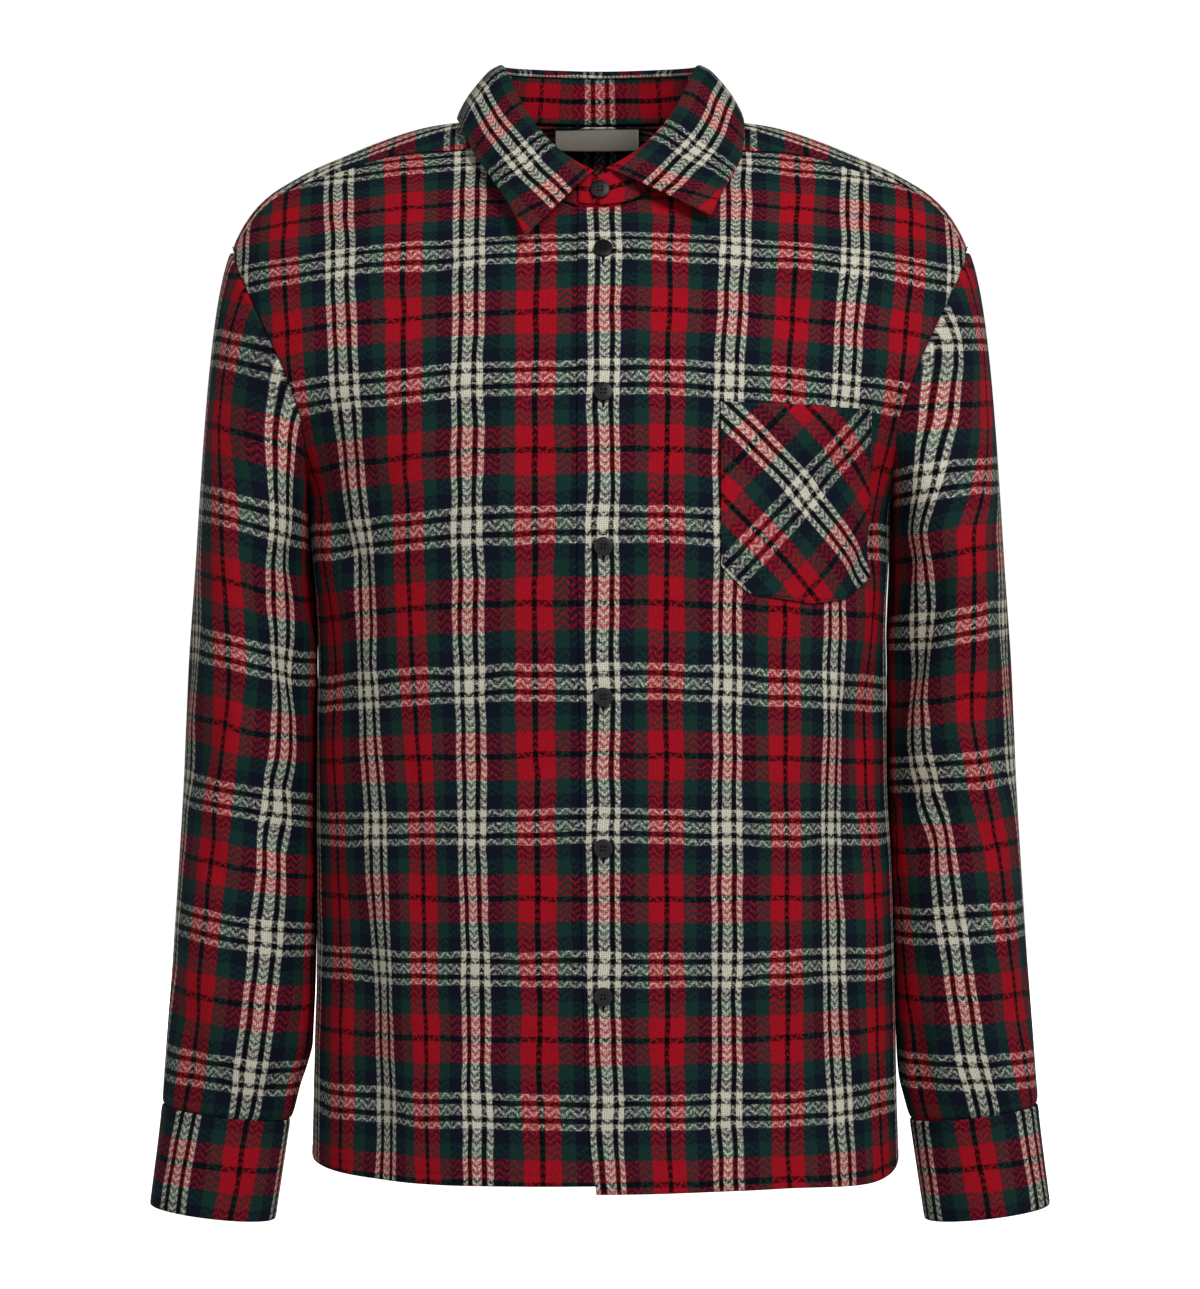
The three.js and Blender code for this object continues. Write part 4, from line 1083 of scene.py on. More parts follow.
def leaf_grid():
    turns = np.linspace(-LEAF_END_TURN, LEAF_END_TURN, LEAF_COLUMNS)
    top = stand_point(turns, 1.0)
    out = unit((top - np.array((0, NECK["middle_y"], 0))) * np.array((1, 1, 0)))
    top = top + out * np.where(turns < 0, stand_lap(-turns), 0)[..., None]
    along = stand_point(turns + 1, 1.0) - stand_point(turns - 1, 1.0)
    up = unit(np.cross(along, out))
    fold = [top + up * rise + out * across for across, rise in LEAF_FOLD]
    start = fold[-1]
    edge = points(*(read(LEAF_EDGE, "turn", name, turns) for name in "xyz"))
    rows = []
    for share in LEAF_SHARES:
        roll = LEAF_ROLL * smooth(share / LEAF_ROLL_SHARE) * (1 - share)
        bulge = 4 * share * (1 - share) * LEAF_BULGE + roll
        rows.append(mix(start, edge, share) + out * bulge)
    plain = np.array(fold + rows)
    down = travelled(plain.swapaxes(0, 1)).T
    down = down - (down[len(fold) - 1] + down[-1]) / 2
    along = travelled(plain[len(fold) + len(LEAF_SHARES) // 2])
    share = 2 * along / along[-1] - 1
    spread = LEAF_SPREAD * np.clip(down / down[-1], 0, 1)
    along = share * (LEAF_REPEATS * WEFT_REPEAT / 2 + LEAF_POINT_BAND + spread)
    down[: len(LEAF_FOLD_STRIPES)] = np.array(LEAF_FOLD_STRIPES)[:, None]
    return plain, np.zeros(down.shape), np.stack((down, along), -1)


def left_front_lift(p):
    return lap_lift(p[..., 0]) - front_folds(p[..., 0], p[..., 2])


POCKET_EDGE_GAP = 0.5
POCKET_FREE = 14  # how far inside its sewn edges the pocket stands off freely
POCKET_BAND_MIDDLE = (125.6, -242.3)


def pocket_grid():
    inner, outer = POCKET_LOW["x"][0], POCKET_LOW["x"][-1]
    s, t = np.meshgrid(shares_to(25, 0.012, 0.988), shares_to(31, 0.01, 0.988))
    x = mix(inner, outer, s)
    z = mix(line(POCKET_LOW, "x", "z", x), mix(POCKET_TOP[0], POCKET_TOP[1], s), t)
    plain = surface_at(x, z)
    width = outer - inner
    free = smooth(np.minimum(s, 1 - s) * width / POCKET_FREE) * smooth(t * 4)
    lift = left_front_lift(plain) + WALL + mix(POCKET_EDGE_GAP, POCKET_GAP, free)
    a = round_at(x, z) - round_at(POCKET_BAND_MIDDLE[0], z)
    b = z - POCKET_BAND_MIDDLE[1]
    return plain, lift, np.stack((a + b, b - a), -1) / math.sqrt(2)


LABEL_DROP = 14.5
LABEL_SWAY = 4.5  # how far back its lower edge hangs
LABEL_SHIFT = (-2, -2.6, -1.6)


def label_grid():
    """The label is sewn in under the neck seam and hangs from there."""
    across, t = np.meshgrid(np.linspace(LABEL["half"], -LABEL["half"], 25), np.linspace(1, 0, 11))
    _, z, _ = neck_at(np.degrees(np.arcsin(across / NECK["half"])))
    top = over_shoulder(across, way_at(across, z, True) + 1)
    top = top + np.array(LABEL_SHIFT)
    plain = top + np.stack((0 * t, LABEL_SWAY * t * t, -LABEL_DROP * t), -1)
    chart = np.stack((across, t * LABEL_DROP), -1)
    return plain, np.zeros(t.shape), chart


# ---- Finishes ----
SCREEN = 2.2  # the power between a colour as it is seen and as it is counted


def as_seen(red, green, blue):
    """A colour as a screen shows it, from 0 to 1."""
    return (red / 255, green / 255, blue / 255, 1.0)


def colour(red, green, blue):
    """The same colour as the renderer counts it."""
    return tuple(v**SCREEN for v in as_seen(red, green, blue))


# Yarn colours, which are mixed as they are seen.
RED = as_seen(184, 26, 42)
GREEN = as_seen(30, 60, 54)
NAVY = as_seen(23, 29, 42)
BLACK = as_seen(8, 8, 9)
WHITE = as_seen(238, 233, 212)


def new_object(name, data):
    made = bpy.data.objects.new(name, data)
    bpy.context.collection.objects.link(made)
    return made


def node(tree, kind, **settings):
    made = tree.nodes.new(kind)
    for name, value in settings.items():
        setattr(made, name, value)
    return made


def feed(tree, socket, value):
    if isinstance(value, bpy.types.NodeSocket):
        tree.links.new(value, socket)
    else:
        socket.default_value = value


def calc(tree, operation, *values, kind="ShaderNodeMath"):
    made = node(tree, kind, operation=operation)
    for socket, value in zip(made.inputs, values):
        feed(tree, socket, value)
    return made.outputs[0]


def vector_calc(tree, operation, *values):
    return calc(tree, operation, *values, kind="ShaderNodeVectorMath")


def split_up(tree, vector):
    """The first two numbers of a vector."""
    made = node(tree, "ShaderNodeSeparateXYZ")
    feed(tree, made.inputs[0], vector)
    return made.outputs["X"], made.outputs["Y"]


def blend_colours(tree, share, first, second):
    made = node(tree, "ShaderNodeMix", data_type="RGBA")
    feed(tree, made.inputs[0], share)
    feed(tree, made.inputs[6], first)
    feed(tree, made.inputs[7], second)
    return made.outputs[2]


def noise(tree, vector, scale, detail=2.0, roughness=0.5):
    made = node(tree, "ShaderNodeTexNoise")
    feed(tree, made.inputs["Vector"], vector)
    made.inputs["Scale"].default_value = scale
    made.inputs["Detail"].default_value = detail
    made.inputs["Roughness"].default_value = roughness
    return made.outputs["Fac"]


def new_group(name, inputs, outputs):
    tree = bpy.data.node_groups.new(name, "ShaderNodeTree")
    for label, kind, value in inputs:
        socket = tree.interface.new_socket(label, in_out="INPUT", socket_type=kind)
        if value is not None:
            socket.default_value = value
    for label, kind in outputs:
        tree.interface.new_socket(label, in_out="OUTPUT", socket_type=kind)
    return tree, node(tree, "NodeGroupInput").outputs, node(tree, "NodeGroupOutput").inputs


FLOAT = "NodeSocketFloat"
COLOUR = "NodeSocketColor"
VECTOR = "NodeSocketVector"
# The yarns of half a repeat, from the middle of the cream stripe to the middle of the black line:
# where each starts.
WARP_YARNS = (
    (0.0, WHITE), (0.078, BLACK), (0.155, WHITE), (0.25, NAVY), (0.49, GREEN), (0.71, RED),
    (0.96, BLACK),
)
WEFT_YARNS = (
    (0.0, WHITE), (0.08, BLACK), (0.155, WHITE), (0.251, NAVY), (0.45, GREEN), (0.665, RED),
    (0.96, BLACK),
)
YARN_EDGE = 0.01  # brushed fibres blur the edge of each stripe by this much
TWILL_PITCH = WEFT_REPEAT / 19
ZIGZAG_PERIOD = WARP_REPEAT / 9
YARN_PITCH = TWILL_PITCH / 4
WARP_SHARE = 0.6  # of the surface
WARP_SWING = 0.26
SPECKLE = 2.3
SPECKLE_SCALE = 0.8
# How dark the painted shadow in the gaps between yarns is.
YARN_GAP_SHADOW = 0.14
# Brushed fibres: the scales of their noise in metres, and how much each changes the shade.
FIBRE_SCALE = 1100.0
FIBRE_SHADE = 0.3
PATCH_SCALE = 45.0
PATCH_SHADE = 0.12
# How the woven lines wander: scales of noise on the cloth, and how far each moves them.
WANDER = ((0.9, 0.7), (0.022, 5.0))
WEAVE_RISE = 0.3
WEAVE_BUMP = (0.35, 0.0006)
GRAIN_BUMP = (0.2, 0.0002)


def make_stripes(name, yarns, repeat):
    """The colour of a set of yarns, by a distance across them."""
    tree, given, made = new_group(name, [("Across", FLOAT, 0.0)], [("Color", COLOUR)])
    place = calc(tree, "PINGPONG", given["Across"], repeat / 2)
    place = calc(tree, "DIVIDE", place, repeat / 2)
    ramp = node(tree, "ShaderNodeValToRGB")
    stops = ramp.color_ramp.elements
    stops[0].color = yarns[0][1]
    stops[1].color = yarns[-1][1]
    for (_, before), (start, after) in zip(yarns[:-1], yarns[1:]):
        stops.new(start - YARN_EDGE).color = before
        stops.new(start + YARN_EDGE).color = after
    feed(tree, ramp.inputs[0], place)
    feed(tree, made["Color"], ramp.outputs["Color"])
    return tree


def make_zigzag():
    """The zigzag twill: how much warp shows, and a painted shadow that darkens the gaps between
    neighbouring yarns.
    """
    tree, given, made = new_group(
        "zigzag twill", [("Cloth", VECTOR, None)], [("Warp", FLOAT), ("Shade", FLOAT)]
    )
    across, along = split_up(tree, given["Cloth"])
    raised = calc(tree, "PINGPONG", across, ZIGZAG_PERIOD / 2)
    level = calc(tree, "SUBTRACT", along, raised)
    wave = calc(tree, "COSINE", calc(tree, "MULTIPLY", level, 2 * math.pi / TWILL_PITCH))
    speck = calc(tree, "SUBTRACT", noise(tree, given["Cloth"], SPECKLE_SCALE, 2.0, 0.6), 0.5)
    wave = calc(tree, "MULTIPLY_ADD", wave, WARP_SWING, calc(tree, "MULTIPLY", speck, SPECKLE))
    share = calc(tree, "ADD", wave, WARP_SHARE)
    share.node.use_clamp = True
    feed(tree, made["Warp"], share)
    # The Shade output is a painted shadow: darker towards the gaps between yarns, lighter on their
    # crowns.
    turn = 2 * math.pi / YARN_PITCH
    warp_round = calc(tree, "COSINE", calc(tree, "MULTIPLY", across, turn))
    weft_round = calc(tree, "COSINE", calc(tree, "MULTIPLY", along, turn))
    apart = calc(tree, "SUBTRACT", warp_round, weft_round)
    rounded = calc(tree, "MULTIPLY_ADD", apart, share, weft_round)
    feed(tree, made["Shade"], calc(tree, "MULTIPLY_ADD", rounded, YARN_GAP_SHADOW, 1 - YARN_GAP_SHADOW))
    return tree


def make_nap():
    """Brushed fibres: a brightness about 1 and a height."""
    tree, given, made = new_group(
        "brushed nap", [("Place", VECTOR, None)], [("Shade", FLOAT), ("Height", FLOAT)]
    )
    fibre = noise(tree, given["Place"], FIBRE_SCALE, 3.0, 0.65)
    patchy = calc(tree, "SUBTRACT", noise(tree, given["Place"], PATCH_SCALE, 3.0, 0.6), 0.5)
    shade = calc(tree, "MULTIPLY_ADD", fibre, FIBRE_SHADE, 1 - FIBRE_SHADE / 2)
    feed(tree, made["Shade"], calc(tree, "MULTIPLY_ADD", patchy, PATCH_SHADE, shade))
    feed(tree, made["Height"], fibre)
    return tree


WARP = make_stripes("warp yarns", WARP_YARNS, WARP_REPEAT)
WEFT = make_stripes("weft yarns", WEFT_YARNS, WEFT_REPEAT)
ZIGZAG = make_zigzag()
NAP = make_nap()


def use(tree, group, given):
    """Uses a group of one input, and gives its outputs."""
    made = node(tree, "ShaderNodeGroup")
    made.node_tree = group
    feed(tree, made.inputs[0], given)
    return made.outputs


def new_finish(name, roughness, gloss):
    material = bpy.data.materials.new(name)
    material.use_nodes = True
    tree = material.node_tree
    shader = tree.nodes["Principled BSDF"]
    shader.inputs["Roughness"].default_value = roughness
    shader.inputs["Specular IOR Level"].default_value = gloss
    return material, tree, shader


def bump(tree, height, strength, distance):
    made = node(tree, "ShaderNodeBump")
    made.inputs["Strength"].default_value = strength
    made.inputs["Distance"].default_value = distance
    feed(tree, made.inputs["Height"], height)
    return made.outputs["Normal"]


def wandering(tree, cloth):
    """The place on the cloth, moved a little so that the woven lines aren't quite straight."""
    found = cloth
    for scale, reach in WANDER:
        drift = noise(tree, cloth, scale).node.outputs["Color"]
        centred = vector_calc(tree, "SUBTRACT", drift, (0.5, 0.5, 0.5))
        found = vector_calc(tree, "MULTIPLY_ADD", centred, (reach, reach, 0), found)
    return found


def make_check_cloth():
    material, tree, shader = new_finish("brushed check cloth", 0.95, 0.06)
    cloth = wandering(tree, node(tree, "ShaderNodeUVMap", uv_map="cloth").outputs["UV"])
    across, along = split_up(tree, cloth)
    warp = use(tree, WARP, across)
    weft = use(tree, WEFT, along)
    twill = use(tree, ZIGZAG, cloth)
    nap = use(tree, NAP, node(tree, "ShaderNodeTexCoord").outputs["Object"])
    woven = blend_colours(tree, twill["Warp"], weft["Color"], warp["Color"])
    # The colour is scaled by the nap's random tone and by the twill's painted shadow between yarns.
    shaded = node(tree, "ShaderNodeVectorMath", operation="SCALE")
    feed(tree, shaded.inputs[0], woven)
    feed(tree, shaded.inputs["Scale"], calc(tree, "MULTIPLY", nap["Shade"], twill["Shade"]))
    screened = node(tree, "ShaderNodeGamma")
    feed(tree, screened.inputs["Color"], shaded.outputs[0])
    screened.inputs["Gamma"].default_value = SCREEN
    feed(tree, shader.inputs["Base Color"], screened.outputs[0])
    height = calc(tree, "MULTIPLY_ADD", twill["Warp"], WEAVE_RISE, nap["Height"])
    feed(tree, shader.inputs["Normal"], bump(tree, height, *WEAVE_BUMP))
    return material


def make_plain(name, tint, roughness, gloss, grain_scale, grain):
    """A plain finish with a fine grain in its colour and height."""
    material, tree, shader = new_finish(name, roughness, gloss)
    place = node(tree, "ShaderNodeTexCoord").outputs["Object"]
    speck = noise(tree, place, grain_scale, 3.0, 0.6)
    lighter = tuple(min(1, v * (1 + grain) + 0.01 * grain) for v in tint[:3]) + (1.0,)
    darker = tuple(v * (1 - grain) for v in tint[:3]) + (1.0,)
    feed(tree, shader.inputs["Base Color"], blend_colours(tree, speck, darker, lighter))
    feed(tree, shader.inputs["Normal"], bump(tree, speck, *GRAIN_BUMP))
    return material


CHECK_CLOTH = make_check_cloth()
LABEL_CLOTH = make_plain("woven label", colour(130, 125, 116), 0.8, 0.1, 900, 0.25)
BUTTON_PLASTIC = make_plain("dark button", colour(17, 17, 19), 0.38, 0.16, 260, 0.3)
DARK_THREAD = make_plain("dark thread", colour(30, 20, 24), 0.8, 0.05, 1500, 0.3)


# ---- Making the pieces ----
def edge_distances(grid):
    """How far each point of a grid is from its left, right, low and top edges."""
    across = travelled(grid)
    up = travelled(grid.swapaxes(0, 1)).T
    return {"left": across, "right": across[:, -1:] - across, "low": up, "top": up[-1:] - up}


SEAM_DIP = 0.5
SEAM_DIP_WIDTH = 3.2
PUCKER = 0.22
PUCKER_START = 3
PUCKER_REACH = 9
TUCK = ((0.3, 0.8), (3.6, 1.0))  # how far on each row lies, and the share of the full depth


def ripple(along):
    """The uneven waves along a seam."""
    return np.sin(along / 2.3) + np.sin(along / 3.7 + 1) + np.sin(along / 6.1)


def tucked(made, edge, depth):
    """Adds an allowance that runs on under the next piece, at an edge of a grid."""
    plain, lift, chart = made
    first, second = (-1, -2) if edge == "top" else (0, 1)
    step = plain[first] - plain[second]
    size = np.linalg.norm(step, axis=-1, keepdims=True)
    places = [plain[first] + step / size * d for d, _ in TUCK]
    lifts = [lift[first] - depth * share for _, share in TUCK]
    charts = [chart[first] + (chart[first] - chart[second]) / size * d for d, _ in TUCK]
    parts = ((plain, places), (lift, lifts), (chart, charts))
    if edge == "top":
        return [np.concatenate((old, np.array(new))) for old, new in parts]
    return [np.concatenate((np.array(new[::-1]), old)) for old, new in parts]


def cloth_piece(node_name, made, thick, seams=(), tucks=(), tube=False, slot="check_cloth"):
    """A shell on a grid, which stands for a node: dipped and rippled at its seams."""
    name = f"{node_name.replace('sleeve_placket', 'placket')}_cloth"
    plain, lift, chart = made
    distances = edge_distances(plain)
    for edge in seams:
        far = distances[edge]
        waves = ripple(distances["low" if edge in ("left", "right") else "left"])
        lift = lift - SEAM_DIP * (1 - smooth(far / SEAM_DIP_WIDTH))
        lift = lift + PUCKER * waves * smooth(far / PUCKER_START) * np.exp(-far / PUCKER_REACH)
    for edge, depth in tucks:
        plain, lift, chart = tucked((plain, lift, chart), edge, depth)
    if tube:
        grid = moved(plain[:, :-1], lift[:, :-1], True)
    else:
        grid = moved(plain, lift)
    rows, columns = grid.shape[:2]
    count = chart.shape[1] - 1
    i, j = np.meshgrid(np.arange(rows - 1), np.arange(count), indexing="ij")
    corners = [(i, j), (i, j + 1), (i + 1, j + 1), (i + 1, j)]
    quads = np.stack([a * columns + b % columns for a, b in corners], -1).reshape(-1, 4)
    mesh = bpy.data.meshes.new(name)
    mesh.from_pydata((grid.reshape(-1, 3) * MM).tolist(), [], quads.tolist())
    places = np.stack([chart[a, b] for a, b in corners], -2).reshape(-1, 2)
    mesh.uv_layers.new(name="cloth").uv.foreach_set("vector", places.ravel().astype(np.float32))
    mesh.materials.append(LABEL_CLOTH if slot == "label_cloth" else CHECK_CLOTH)
    mesh.shade_smooth()
    piece = new_object(name, mesh)
    wall = piece.modifiers.new("wall", "SOLIDIFY")
    wall.thickness = thick * MM
    wall.offset = -1
    soft = piece.modifiers.new("soft", "SUBSURF")
    soft.levels = 1
    soft.render_levels = 1
    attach(piece, "root")
    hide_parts(node_name)
    return piece


SLEEVE_SIDES = {"left": 1, "right": -1}
TUCK_DEPTH = 2.4
CUFF_TUCK_DEPTH = 2.7
under_top = (("top", TUCK_DEPTH),)
front_left = cloth_piece("front_left", front_grid(1), WALL, ("right", "top"), under_top)
front_right = cloth_piece("front_right", front_grid(-1), WALL, ("left", "top"), under_top)
back = cloth_piece("back", back_grid(), WALL, ("left", "right", "top"), under_top)
yoke = cloth_piece("yoke", yoke_grid(), WALL, ("left", "right", "low", "top"), under_top)
sleeves, plackets, cuffs = {}, {}, {}
for word, side in SLEEVE_SIDES.items():
    under_low = (("low", CUFF_TUCK_DEPTH),)
    sleeves[word] = cloth_piece(
        f"sleeve_{word}", sleeve_grid(side), WALL, ("low",), under_low, tube=True
    )
    plackets[word] = cloth_piece(f"sleeve_placket_{word}", placket_grid(side), WALL)
    cuffs[word] = cloth_piece(f"cuff_{word}", cuff_grid(side), FIRM_WALL)
stand = cloth_piece("collar_stand", stand_grid(), FIRM_WALL)
leaf = cloth_piece("collar_leaf", leaf_grid(), FIRM_WALL)
pocket = cloth_piece("pocket", pocket_grid(), WALL)
label = cloth_piece("neck_label", label_grid(), LABEL["thick"], slot="label_cloth")


# ---- Buttons, their threads and buttonholes ----
BUTTON_RADIUS = 5.8
BUTTON_THICK = 2.6
BUTTON_RIM = 1.3
BUTTON_SIDES = 40
DISH_STEP = 0.5
DISH_DEPTH = 0.7
RIM_ROUND = 0.35
SHARP_TURN = math.radians(35)
FACING = 0.9  # a face looks along an axis if its normal has this much of it
HOLE_REACH = 1.15
HOLE_RING = HOLE_REACH * 1.4  # from the middle of a button to the middle of each hole
HOLE_RADIUS = 0.75
HOLE_SIDES = 12
DRILL_DEPTH = 10
THREAD_RADIUS = 0.24
THREAD_SIDES = 8
THREAD_LENGTH = 2.9 * HOLE_REACH
THREAD_SPREAD = 0.4
THREAD_SINK = 0.45
THREAD_RISE = 0.12
BUTTONHOLE_LENGTH = 15.5
BUTTONHOLE_WIDTH = 2.4
BUTTONHOLE_HEIGHT = 1.1
BUTTONHOLE_DROP = 2.0
BUTTONHOLE_GAP = 0.1
BUTTONHOLE_RING = {"major_radius": 1.0, "minor_radius": 0.4}


def select_faces(mesh, wanted):
    """Selects the faces of the mesh in edit mode whose normals pass a test."""
    shape = bmesh.from_edit_mesh(mesh)
    for face in shape.faces:
        face.select_set(wanted(face.normal))
    shape.select_flush_mode()
    bmesh.update_edit_mesh(mesh)


def add_cylinder(radius, length, sides, place=(0, 0, 0), turn=(0, 0, 0)):
    bpy.ops.mesh.primitive_cylinder_add(
        vertices=sides,
        radius=radius * MM,
        depth=length * MM,
        location=[v * MM for v in place],
        rotation=turn,
    )
    return bpy.context.object


def join(pieces):
    bpy.ops.object.select_all(action="DESELECT")
    for piece in pieces:
        piece.select_set(True)
    bpy.context.view_layer.objects.active = pieces[0]
    bpy.ops.object.join()
    return pieces[0]


def make_button():
    """A dished disc with a rounded rim and four holes, its back on the ground."""
    disc = add_cylinder(BUTTON_RADIUS, BUTTON_THICK, BUTTON_SIDES, (0, 0, BUTTON_THICK / 2))
    bpy.ops.object.transform_apply()
    bpy.ops.object.mode_set(mode="EDIT")
    select_faces(disc.data, lambda normal: normal.z > FACING)
    bpy.ops.mesh.inset(thickness=BUTTON_RIM * MM, depth=0)
    bpy.ops.mesh.inset(thickness=DISH_STEP * MM, depth=-DISH_DEPTH * MM)
    bpy.ops.object.mode_set(mode="OBJECT")
    soft = disc.modifiers.new("rounded rim", "BEVEL")
    soft.width = RIM_ROUND * MM
    soft.segments = 2
    soft.angle_limit = SHARP_TURN
    turns = [math.pi / 4 + k * math.pi / 2 for k in range(4)]
    places = [(HOLE_RING * math.cos(t), HOLE_RING * math.sin(t), 0) for t in turns]
    drill = join([add_cylinder(HOLE_RADIUS, DRILL_DEPTH, HOLE_SIDES, place) for place in places])
    cut = disc.modifiers.new("holes", "BOOLEAN")
    cut.object = drill
    cut.operation = "DIFFERENCE"
    bpy.context.view_layer.objects.active = disc
    for modifier in list(disc.modifiers):
        bpy.ops.object.modifier_apply(modifier=modifier.name)
    bpy.data.objects.remove(drill)
    return disc


def make_strands():
    """Two pairs of threads across the holes of a button."""
    strands = []
    for side in (-1, 1):
        for lift in (0, 1):
            x = side * HOLE_REACH + (lift - 0.5) * THREAD_SPREAD
            place = (x, 0, BUTTON_THICK - THREAD_SINK + THREAD_RISE * lift)
            size = (THREAD_RADIUS, THREAD_LENGTH, THREAD_SIDES)
            strands.append(add_cylinder(*size, place, (math.pi / 2, 0, 0)))
    made = join(strands)
    bpy.ops.object.transform_apply()
    return made


def make_buttonhole():
    """A worked buttonhole: a raised ring of stitches round a slit."""
    bpy.ops.mesh.primitive_torus_add(**BUTTONHOLE_RING, major_segments=36, minor_segments=8)
    made = bpy.context.object
    whole = 2 * sum(BUTTONHOLE_RING.values())
    made.scale = (BUTTONHOLE_WIDTH / whole * MM, BUTTONHOLE_LENGTH / whole * MM, BUTTONHOLE_HEIGHT * MM)
    bpy.ops.object.transform_apply()
    return made


def copies(template, places, finish):
    """Copies of a template, each with its own mesh, one at each place."""
    made = []
    for place in places:
        mesh = template.data.copy()
        mesh.transform(place)
        mesh.materials.clear()
        mesh.materials.append(finish)
        made.append(new_object(template.name, mesh))
    bpy.data.objects.remove(template)
    return made


def joined(template, name, places):
    """Thread copies of a template, as one piece."""
    piece = join(copies(template, places, DARK_THREAD))
    piece.name = name
    piece.data.name = name
    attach(piece, "root")


def placing(here, x_axis, y_axis, z_axis):
    turned = Matrix([(*row, 0) for row in np.array((x_axis, y_axis, z_axis)).T] + [(0, 0, 0, 1)])
    return Matrix.Translation(Vector(here) * MM) @ turned


def frame_on(face, a, b, step_a, step_b, gap):
    """A placing that stands on a face given as a function of two numbers, turned to its outside."""
    across = unit(face(a + step_a, b) - face(a - step_a, b))
    up = face(a, b + step_b) - face(a, b - step_b)
    out = unit(np.cross(across, up))
    return placing(face(a, b) + out * gap, across, np.cross(out, across), out)


def number(value):
    return np.array(float(value))


def left_front_face(x, z):
    p = surface_at(number(x), number(z))
    return p - np.array((0, 1, 0)) * left_front_lift(p)


def cuff_face(side):
    def found(turn, z):
        return flipped(cuff_point(number(turn), number(z), CUFF_LIFT), side)

    return found


def stand_face(turn, share):
    return stand_point(number(turn), share)


CUFF_MIDDLE = (CUFF_TOP_Z + CUFF_END_Z) / 2


def front_places(drop, gap):
    return [frame_on(left_front_face, BUTTON_X, z - drop, 4, 4, gap) for z in BUTTON_HEIGHTS]


def end_places(gap):
    """Places at the middle of the stand's lap and of each cuff's."""
    places = [frame_on(stand_face, 180, 0.5, -3, 0.2, gap)]
    for side in SLEEVE_SIDES.values():
        places.append(frame_on(cuff_face(side), CUFF_LAP_TURN, CUFF_MIDDLE, -6 * side, 6, gap))
    return places


BUTTON_NODES = [f"button_{k + 1}" for k in range(len(BUTTON_HEIGHTS))]
BUTTON_NODES += ["button_stand", "button_cuff_left", "button_cuff_right"]
button_places = front_places(0, LAID_GAP) + end_places(LAID_GAP)
for piece, node_name in zip(copies(make_button(), button_places, BUTTON_PLASTIC), BUTTON_NODES):
    piece.name = f"{node_name}_shaped"
    bpy.context.view_layer.objects.active = piece
    piece.select_set(True)
    bpy.ops.object.shade_smooth_by_angle(angle=SHARP_TURN)
    piece.select_set(False)
    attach(piece, "root")
    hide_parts(node_name)
joined(make_strands(), "button_threads", button_places)

# Upright holes down the front, set a little low, and level ones on the stand and the cuffs.
level = Matrix.Rotation(math.pi / 2, 4, "Z")
hole_places = front_places(BUTTONHOLE_DROP, BUTTONHOLE_GAP)
hole_places += [place @ level for place in end_places(BUTTONHOLE_GAP)]
joined(make_buttonhole(), "buttonholes", hole_places)


# ---- Sewing ----
STITCH_PITCH = 3.0
STITCH_LENGTH = 1.7
STITCH_RADIUS = 0.3
STITCH_SIDES = 6
STITCH_SINK = 0.15
STITCH_TIP = {"thickness": 0.14 * MM, "depth": 0.22 * MM}
STITCH_CLEAR = 4.5  # stitches end this far from the other edges of a piece
STITCH_AHEAD = 0.5  # where a stitch looks for the way its line runs


def make_stitch():
    """One stitch: a short thread with rounded ends, along X."""
    stitch = add_cylinder(STITCH_RADIUS, STITCH_LENGTH, STITCH_SIDES, turn=(0, math.pi / 2, 0))
    bpy.ops.object.transform_apply()
    bpy.ops.object.mode_set(mode="EDIT")
    select_faces(stitch.data, lambda normal: abs(normal.x) > FACING)
    bpy.ops.mesh.inset(**STITCH_TIP, use_individual=True)
    bpy.ops.object.mode_set(mode="OBJECT")
    return stitch


def columns_at(values, along, at):
    """A row of a table of points, read at a distance."""
    return np.array([np.interp(at, along, column) for column in values.T])


def inside_line(made, edge, inset):
    """The places and normals of a line that runs inside one edge of a grid."""
    grid = moved(made[0], made[1])
    far = edge_distances(grid)
    is_upright = edge in ("left", "right")
    ends = ("low", "top") if is_upright else ("left", "right")
    to_ends = np.minimum(far[ends[0]], far[ends[1]])
    values = np.concatenate((grid, normals_of(grid), to_ends[..., None]), -1)
    away = far[edge]
    if not is_upright:
        values, away = values.swapaxes(0, 1), away.T
    found = []
    for row, distance in zip(values, away):
        if distance[0] > distance[-1]:
            row, distance = row[::-1], distance[::-1]
        found.append(columns_at(row, distance, inset))
    found = np.array(found)
    found = found[found[:, 6] > max(inset, STITCH_CLEAR)]
    out = unit(found[:, 3:6])
    return found[:, :3] - out * STITCH_SINK, out


def stitch_places(spots, normals):
    """Where the stitches of one line go."""
    along = travelled(spots)
    places = []
    for distance in np.arange(STITCH_PITCH / 2, along[-1] - STITCH_PITCH / 2, STITCH_PITCH):
        here = columns_at(spots, along, distance)
        out = unit(columns_at(normals, along, distance))
        ahead = unit(columns_at(spots, along, distance + STITCH_AHEAD) - here)
        aside = unit(np.cross(out, ahead))
        out = np.cross(ahead, aside)
        places.append(placing(here, ahead, aside, out))
    return places


def sew(name, *lines):
    """Runs of stitches along lines inside the edges of pieces, as one object."""
    places = []
    for made, edge, inset in lines:
        places += stitch_places(*inside_line(made, edge, inset))
    joined(make_stitch(), name, places)


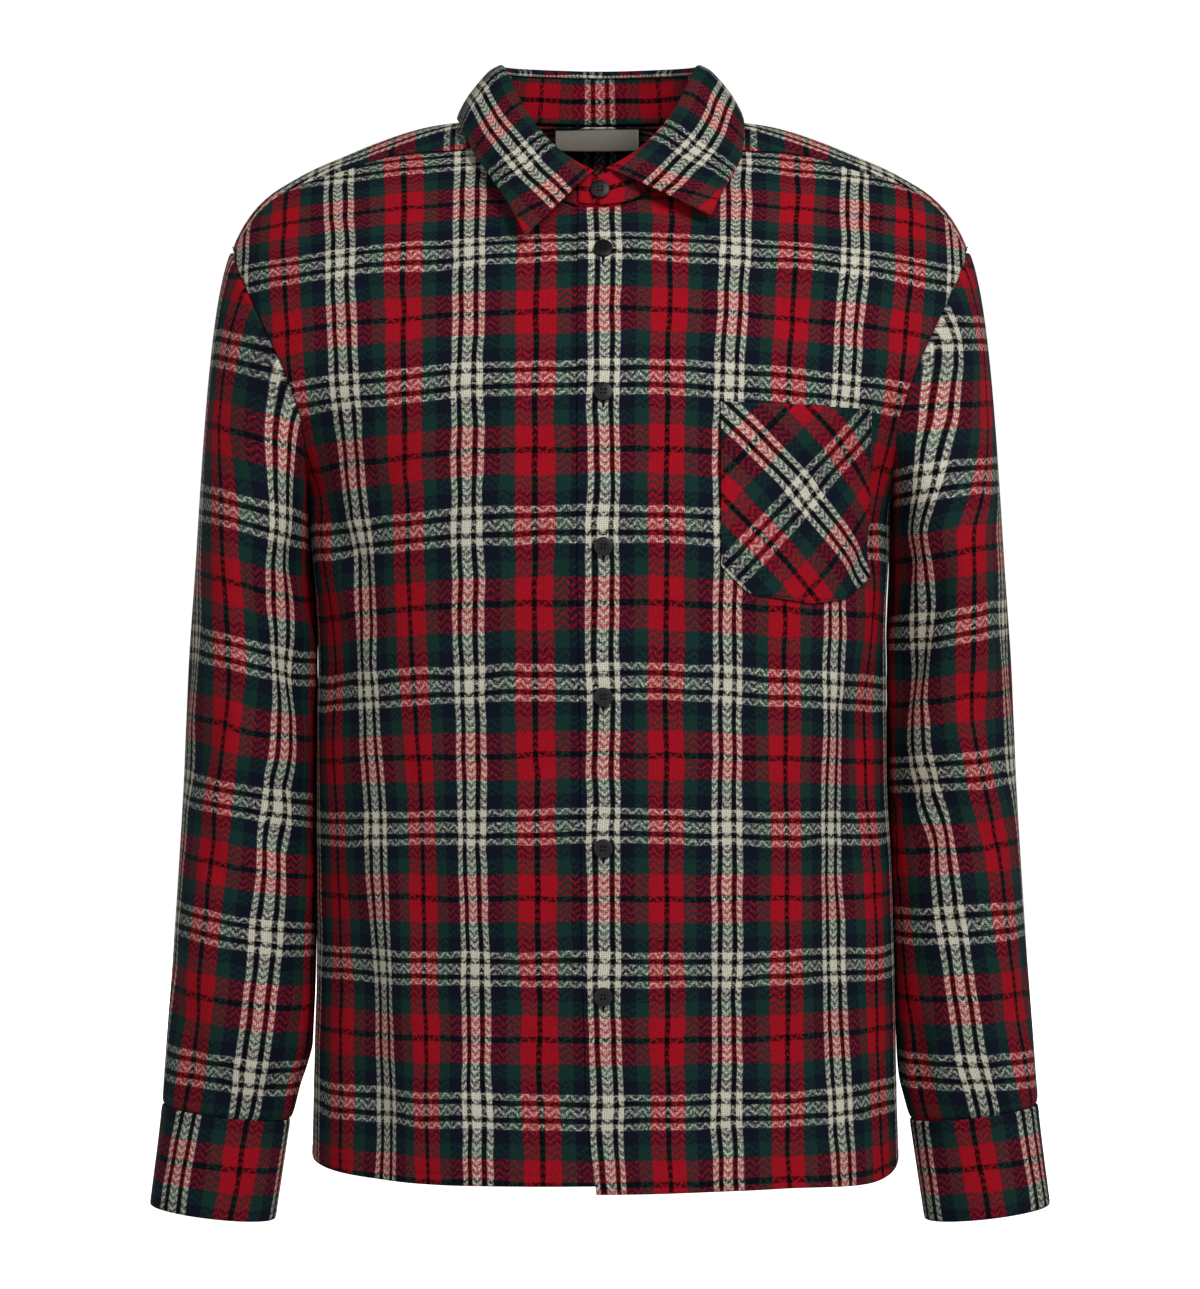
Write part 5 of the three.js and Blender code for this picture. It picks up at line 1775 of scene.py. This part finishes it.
HEM_INSET = 7.2
EDGE_INSET = 5.5
SEAM_INSET = 2.0
sew("front_left_stitches", (front_grid(1), "low", HEM_INSET))
sew("front_right_stitches", (front_grid(-1), "low", HEM_INSET))
sew("back_stitches", (back_grid(), "low", HEM_INSET))
sew("yoke_stitches", (yoke_grid(), "low", SEAM_INSET), (yoke_grid(), "top", SEAM_INSET))
sew("collar_stitches", *((leaf_grid(), edge, EDGE_INSET) for edge in ("left", "right", "top")))
sew("pocket_stitches", *((pocket_grid(), edge, SEAM_INSET) for edge in ("left", "right", "low")))
for word, side in SLEEVE_SIDES.items():
    cuff_lines = [(cuff_grid(side), edge, EDGE_INSET) for edge in ("low", "top")]
    placket_lines = [(placket_grid(side), edge, SEAM_INSET) for edge in ("left", "right", "top")]
    sew(f"cuff_{word}_stitches", *cuff_lines, *placket_lines)


# ---- Camera, light and floor ----
VIEW_HEIGHT = -0.336
VIEW_DISTANCE = 2.3
SENSOR = 36
LENS = 98.8
camera_data = bpy.data.cameras.new("camera")
camera_data.sensor_width = SENSOR
camera_data.lens = LENS
camera = new_object("camera", camera_data)
camera.location = (0, -VIEW_DISTANCE, VIEW_HEIGHT)
camera.rotation_euler = (math.pi / 2, 0, 0)
bpy.context.scene.camera = camera


def add_lamp(name, place, size, power):
    """A round lamp that shines at the middle of the shirt."""
    data = bpy.data.lights.new(name, "AREA")
    data.shape = "DISK"
    data.size = size
    data.energy = power
    made = new_object(name, data)
    made.location = place
    towards = Vector((0, 0, VIEW_HEIGHT)) - Vector(place)
    made.rotation_euler = towards.to_track_quat("-Z", "Y").to_euler()


add_lamp("key", (1.0, -2.4, 1.1), 1.2, 58)
add_lamp("fill", (-1.2, -2.6, 0.2), 1.4, 11)
add_lamp("behind", (-0.7, 2.9, 0.5), 1.6, 42)

ROOM_LIGHT = 0.17
world = bpy.data.worlds.new("pale room")
world.use_nodes = True
world.node_tree.nodes["Background"].inputs["Color"].default_value = (1, 1, 1, 1)
world.node_tree.nodes["Background"].inputs["Strength"].default_value = ROOM_LIGHT
bpy.context.scene.world = world
bpy.context.scene.view_settings.view_transform = "Standard"


FLOOR_GLOW = 0.8


def make_floor():
    """A pale floor that curves up into a backdrop all round."""
    low, high = -0.8, 4.5
    inner, flat, bend = 0.5, 5.0, 1.2
    sides = 96
    turns = np.linspace(0, math.pi / 2, 13)
    path = [(inner, low)]
    path += [(flat + bend * math.sin(t), low + bend * (1 - math.cos(t))) for t in turns]
    path.append((flat + bend, high))
    around = np.arange(sides) * 2 * math.pi / sides
    shape = [(r * math.cos(t), r * math.sin(t), z) for r, z in path for t in around]
    faces = [tuple(range(sides))]
    for k in range(len(path) - 1):
        for j in range(sides):
            after = (j + 1) % sides
            here, outer = k * sides, (k + 1) * sides
            faces.append((here + j, outer + j, outer + after, here + after))
    mesh = bpy.data.meshes.new("floor")
    mesh.from_pydata(shape, [], faces)
    mesh.shade_smooth()
    material, _, shader = new_finish("pale floor", 0.9, 0.5)
    shader.inputs["Base Color"].default_value = (0.95, 0.95, 0.95, 1)
    shader.inputs["Emission Color"].default_value = (1, 1, 1, 1)
    shader.inputs["Emission Strength"].default_value = FLOOR_GLOW
    mesh.materials.append(material)
    made = new_object("floor", mesh)
    made.visible_diffuse = False
    return made


make_floor()
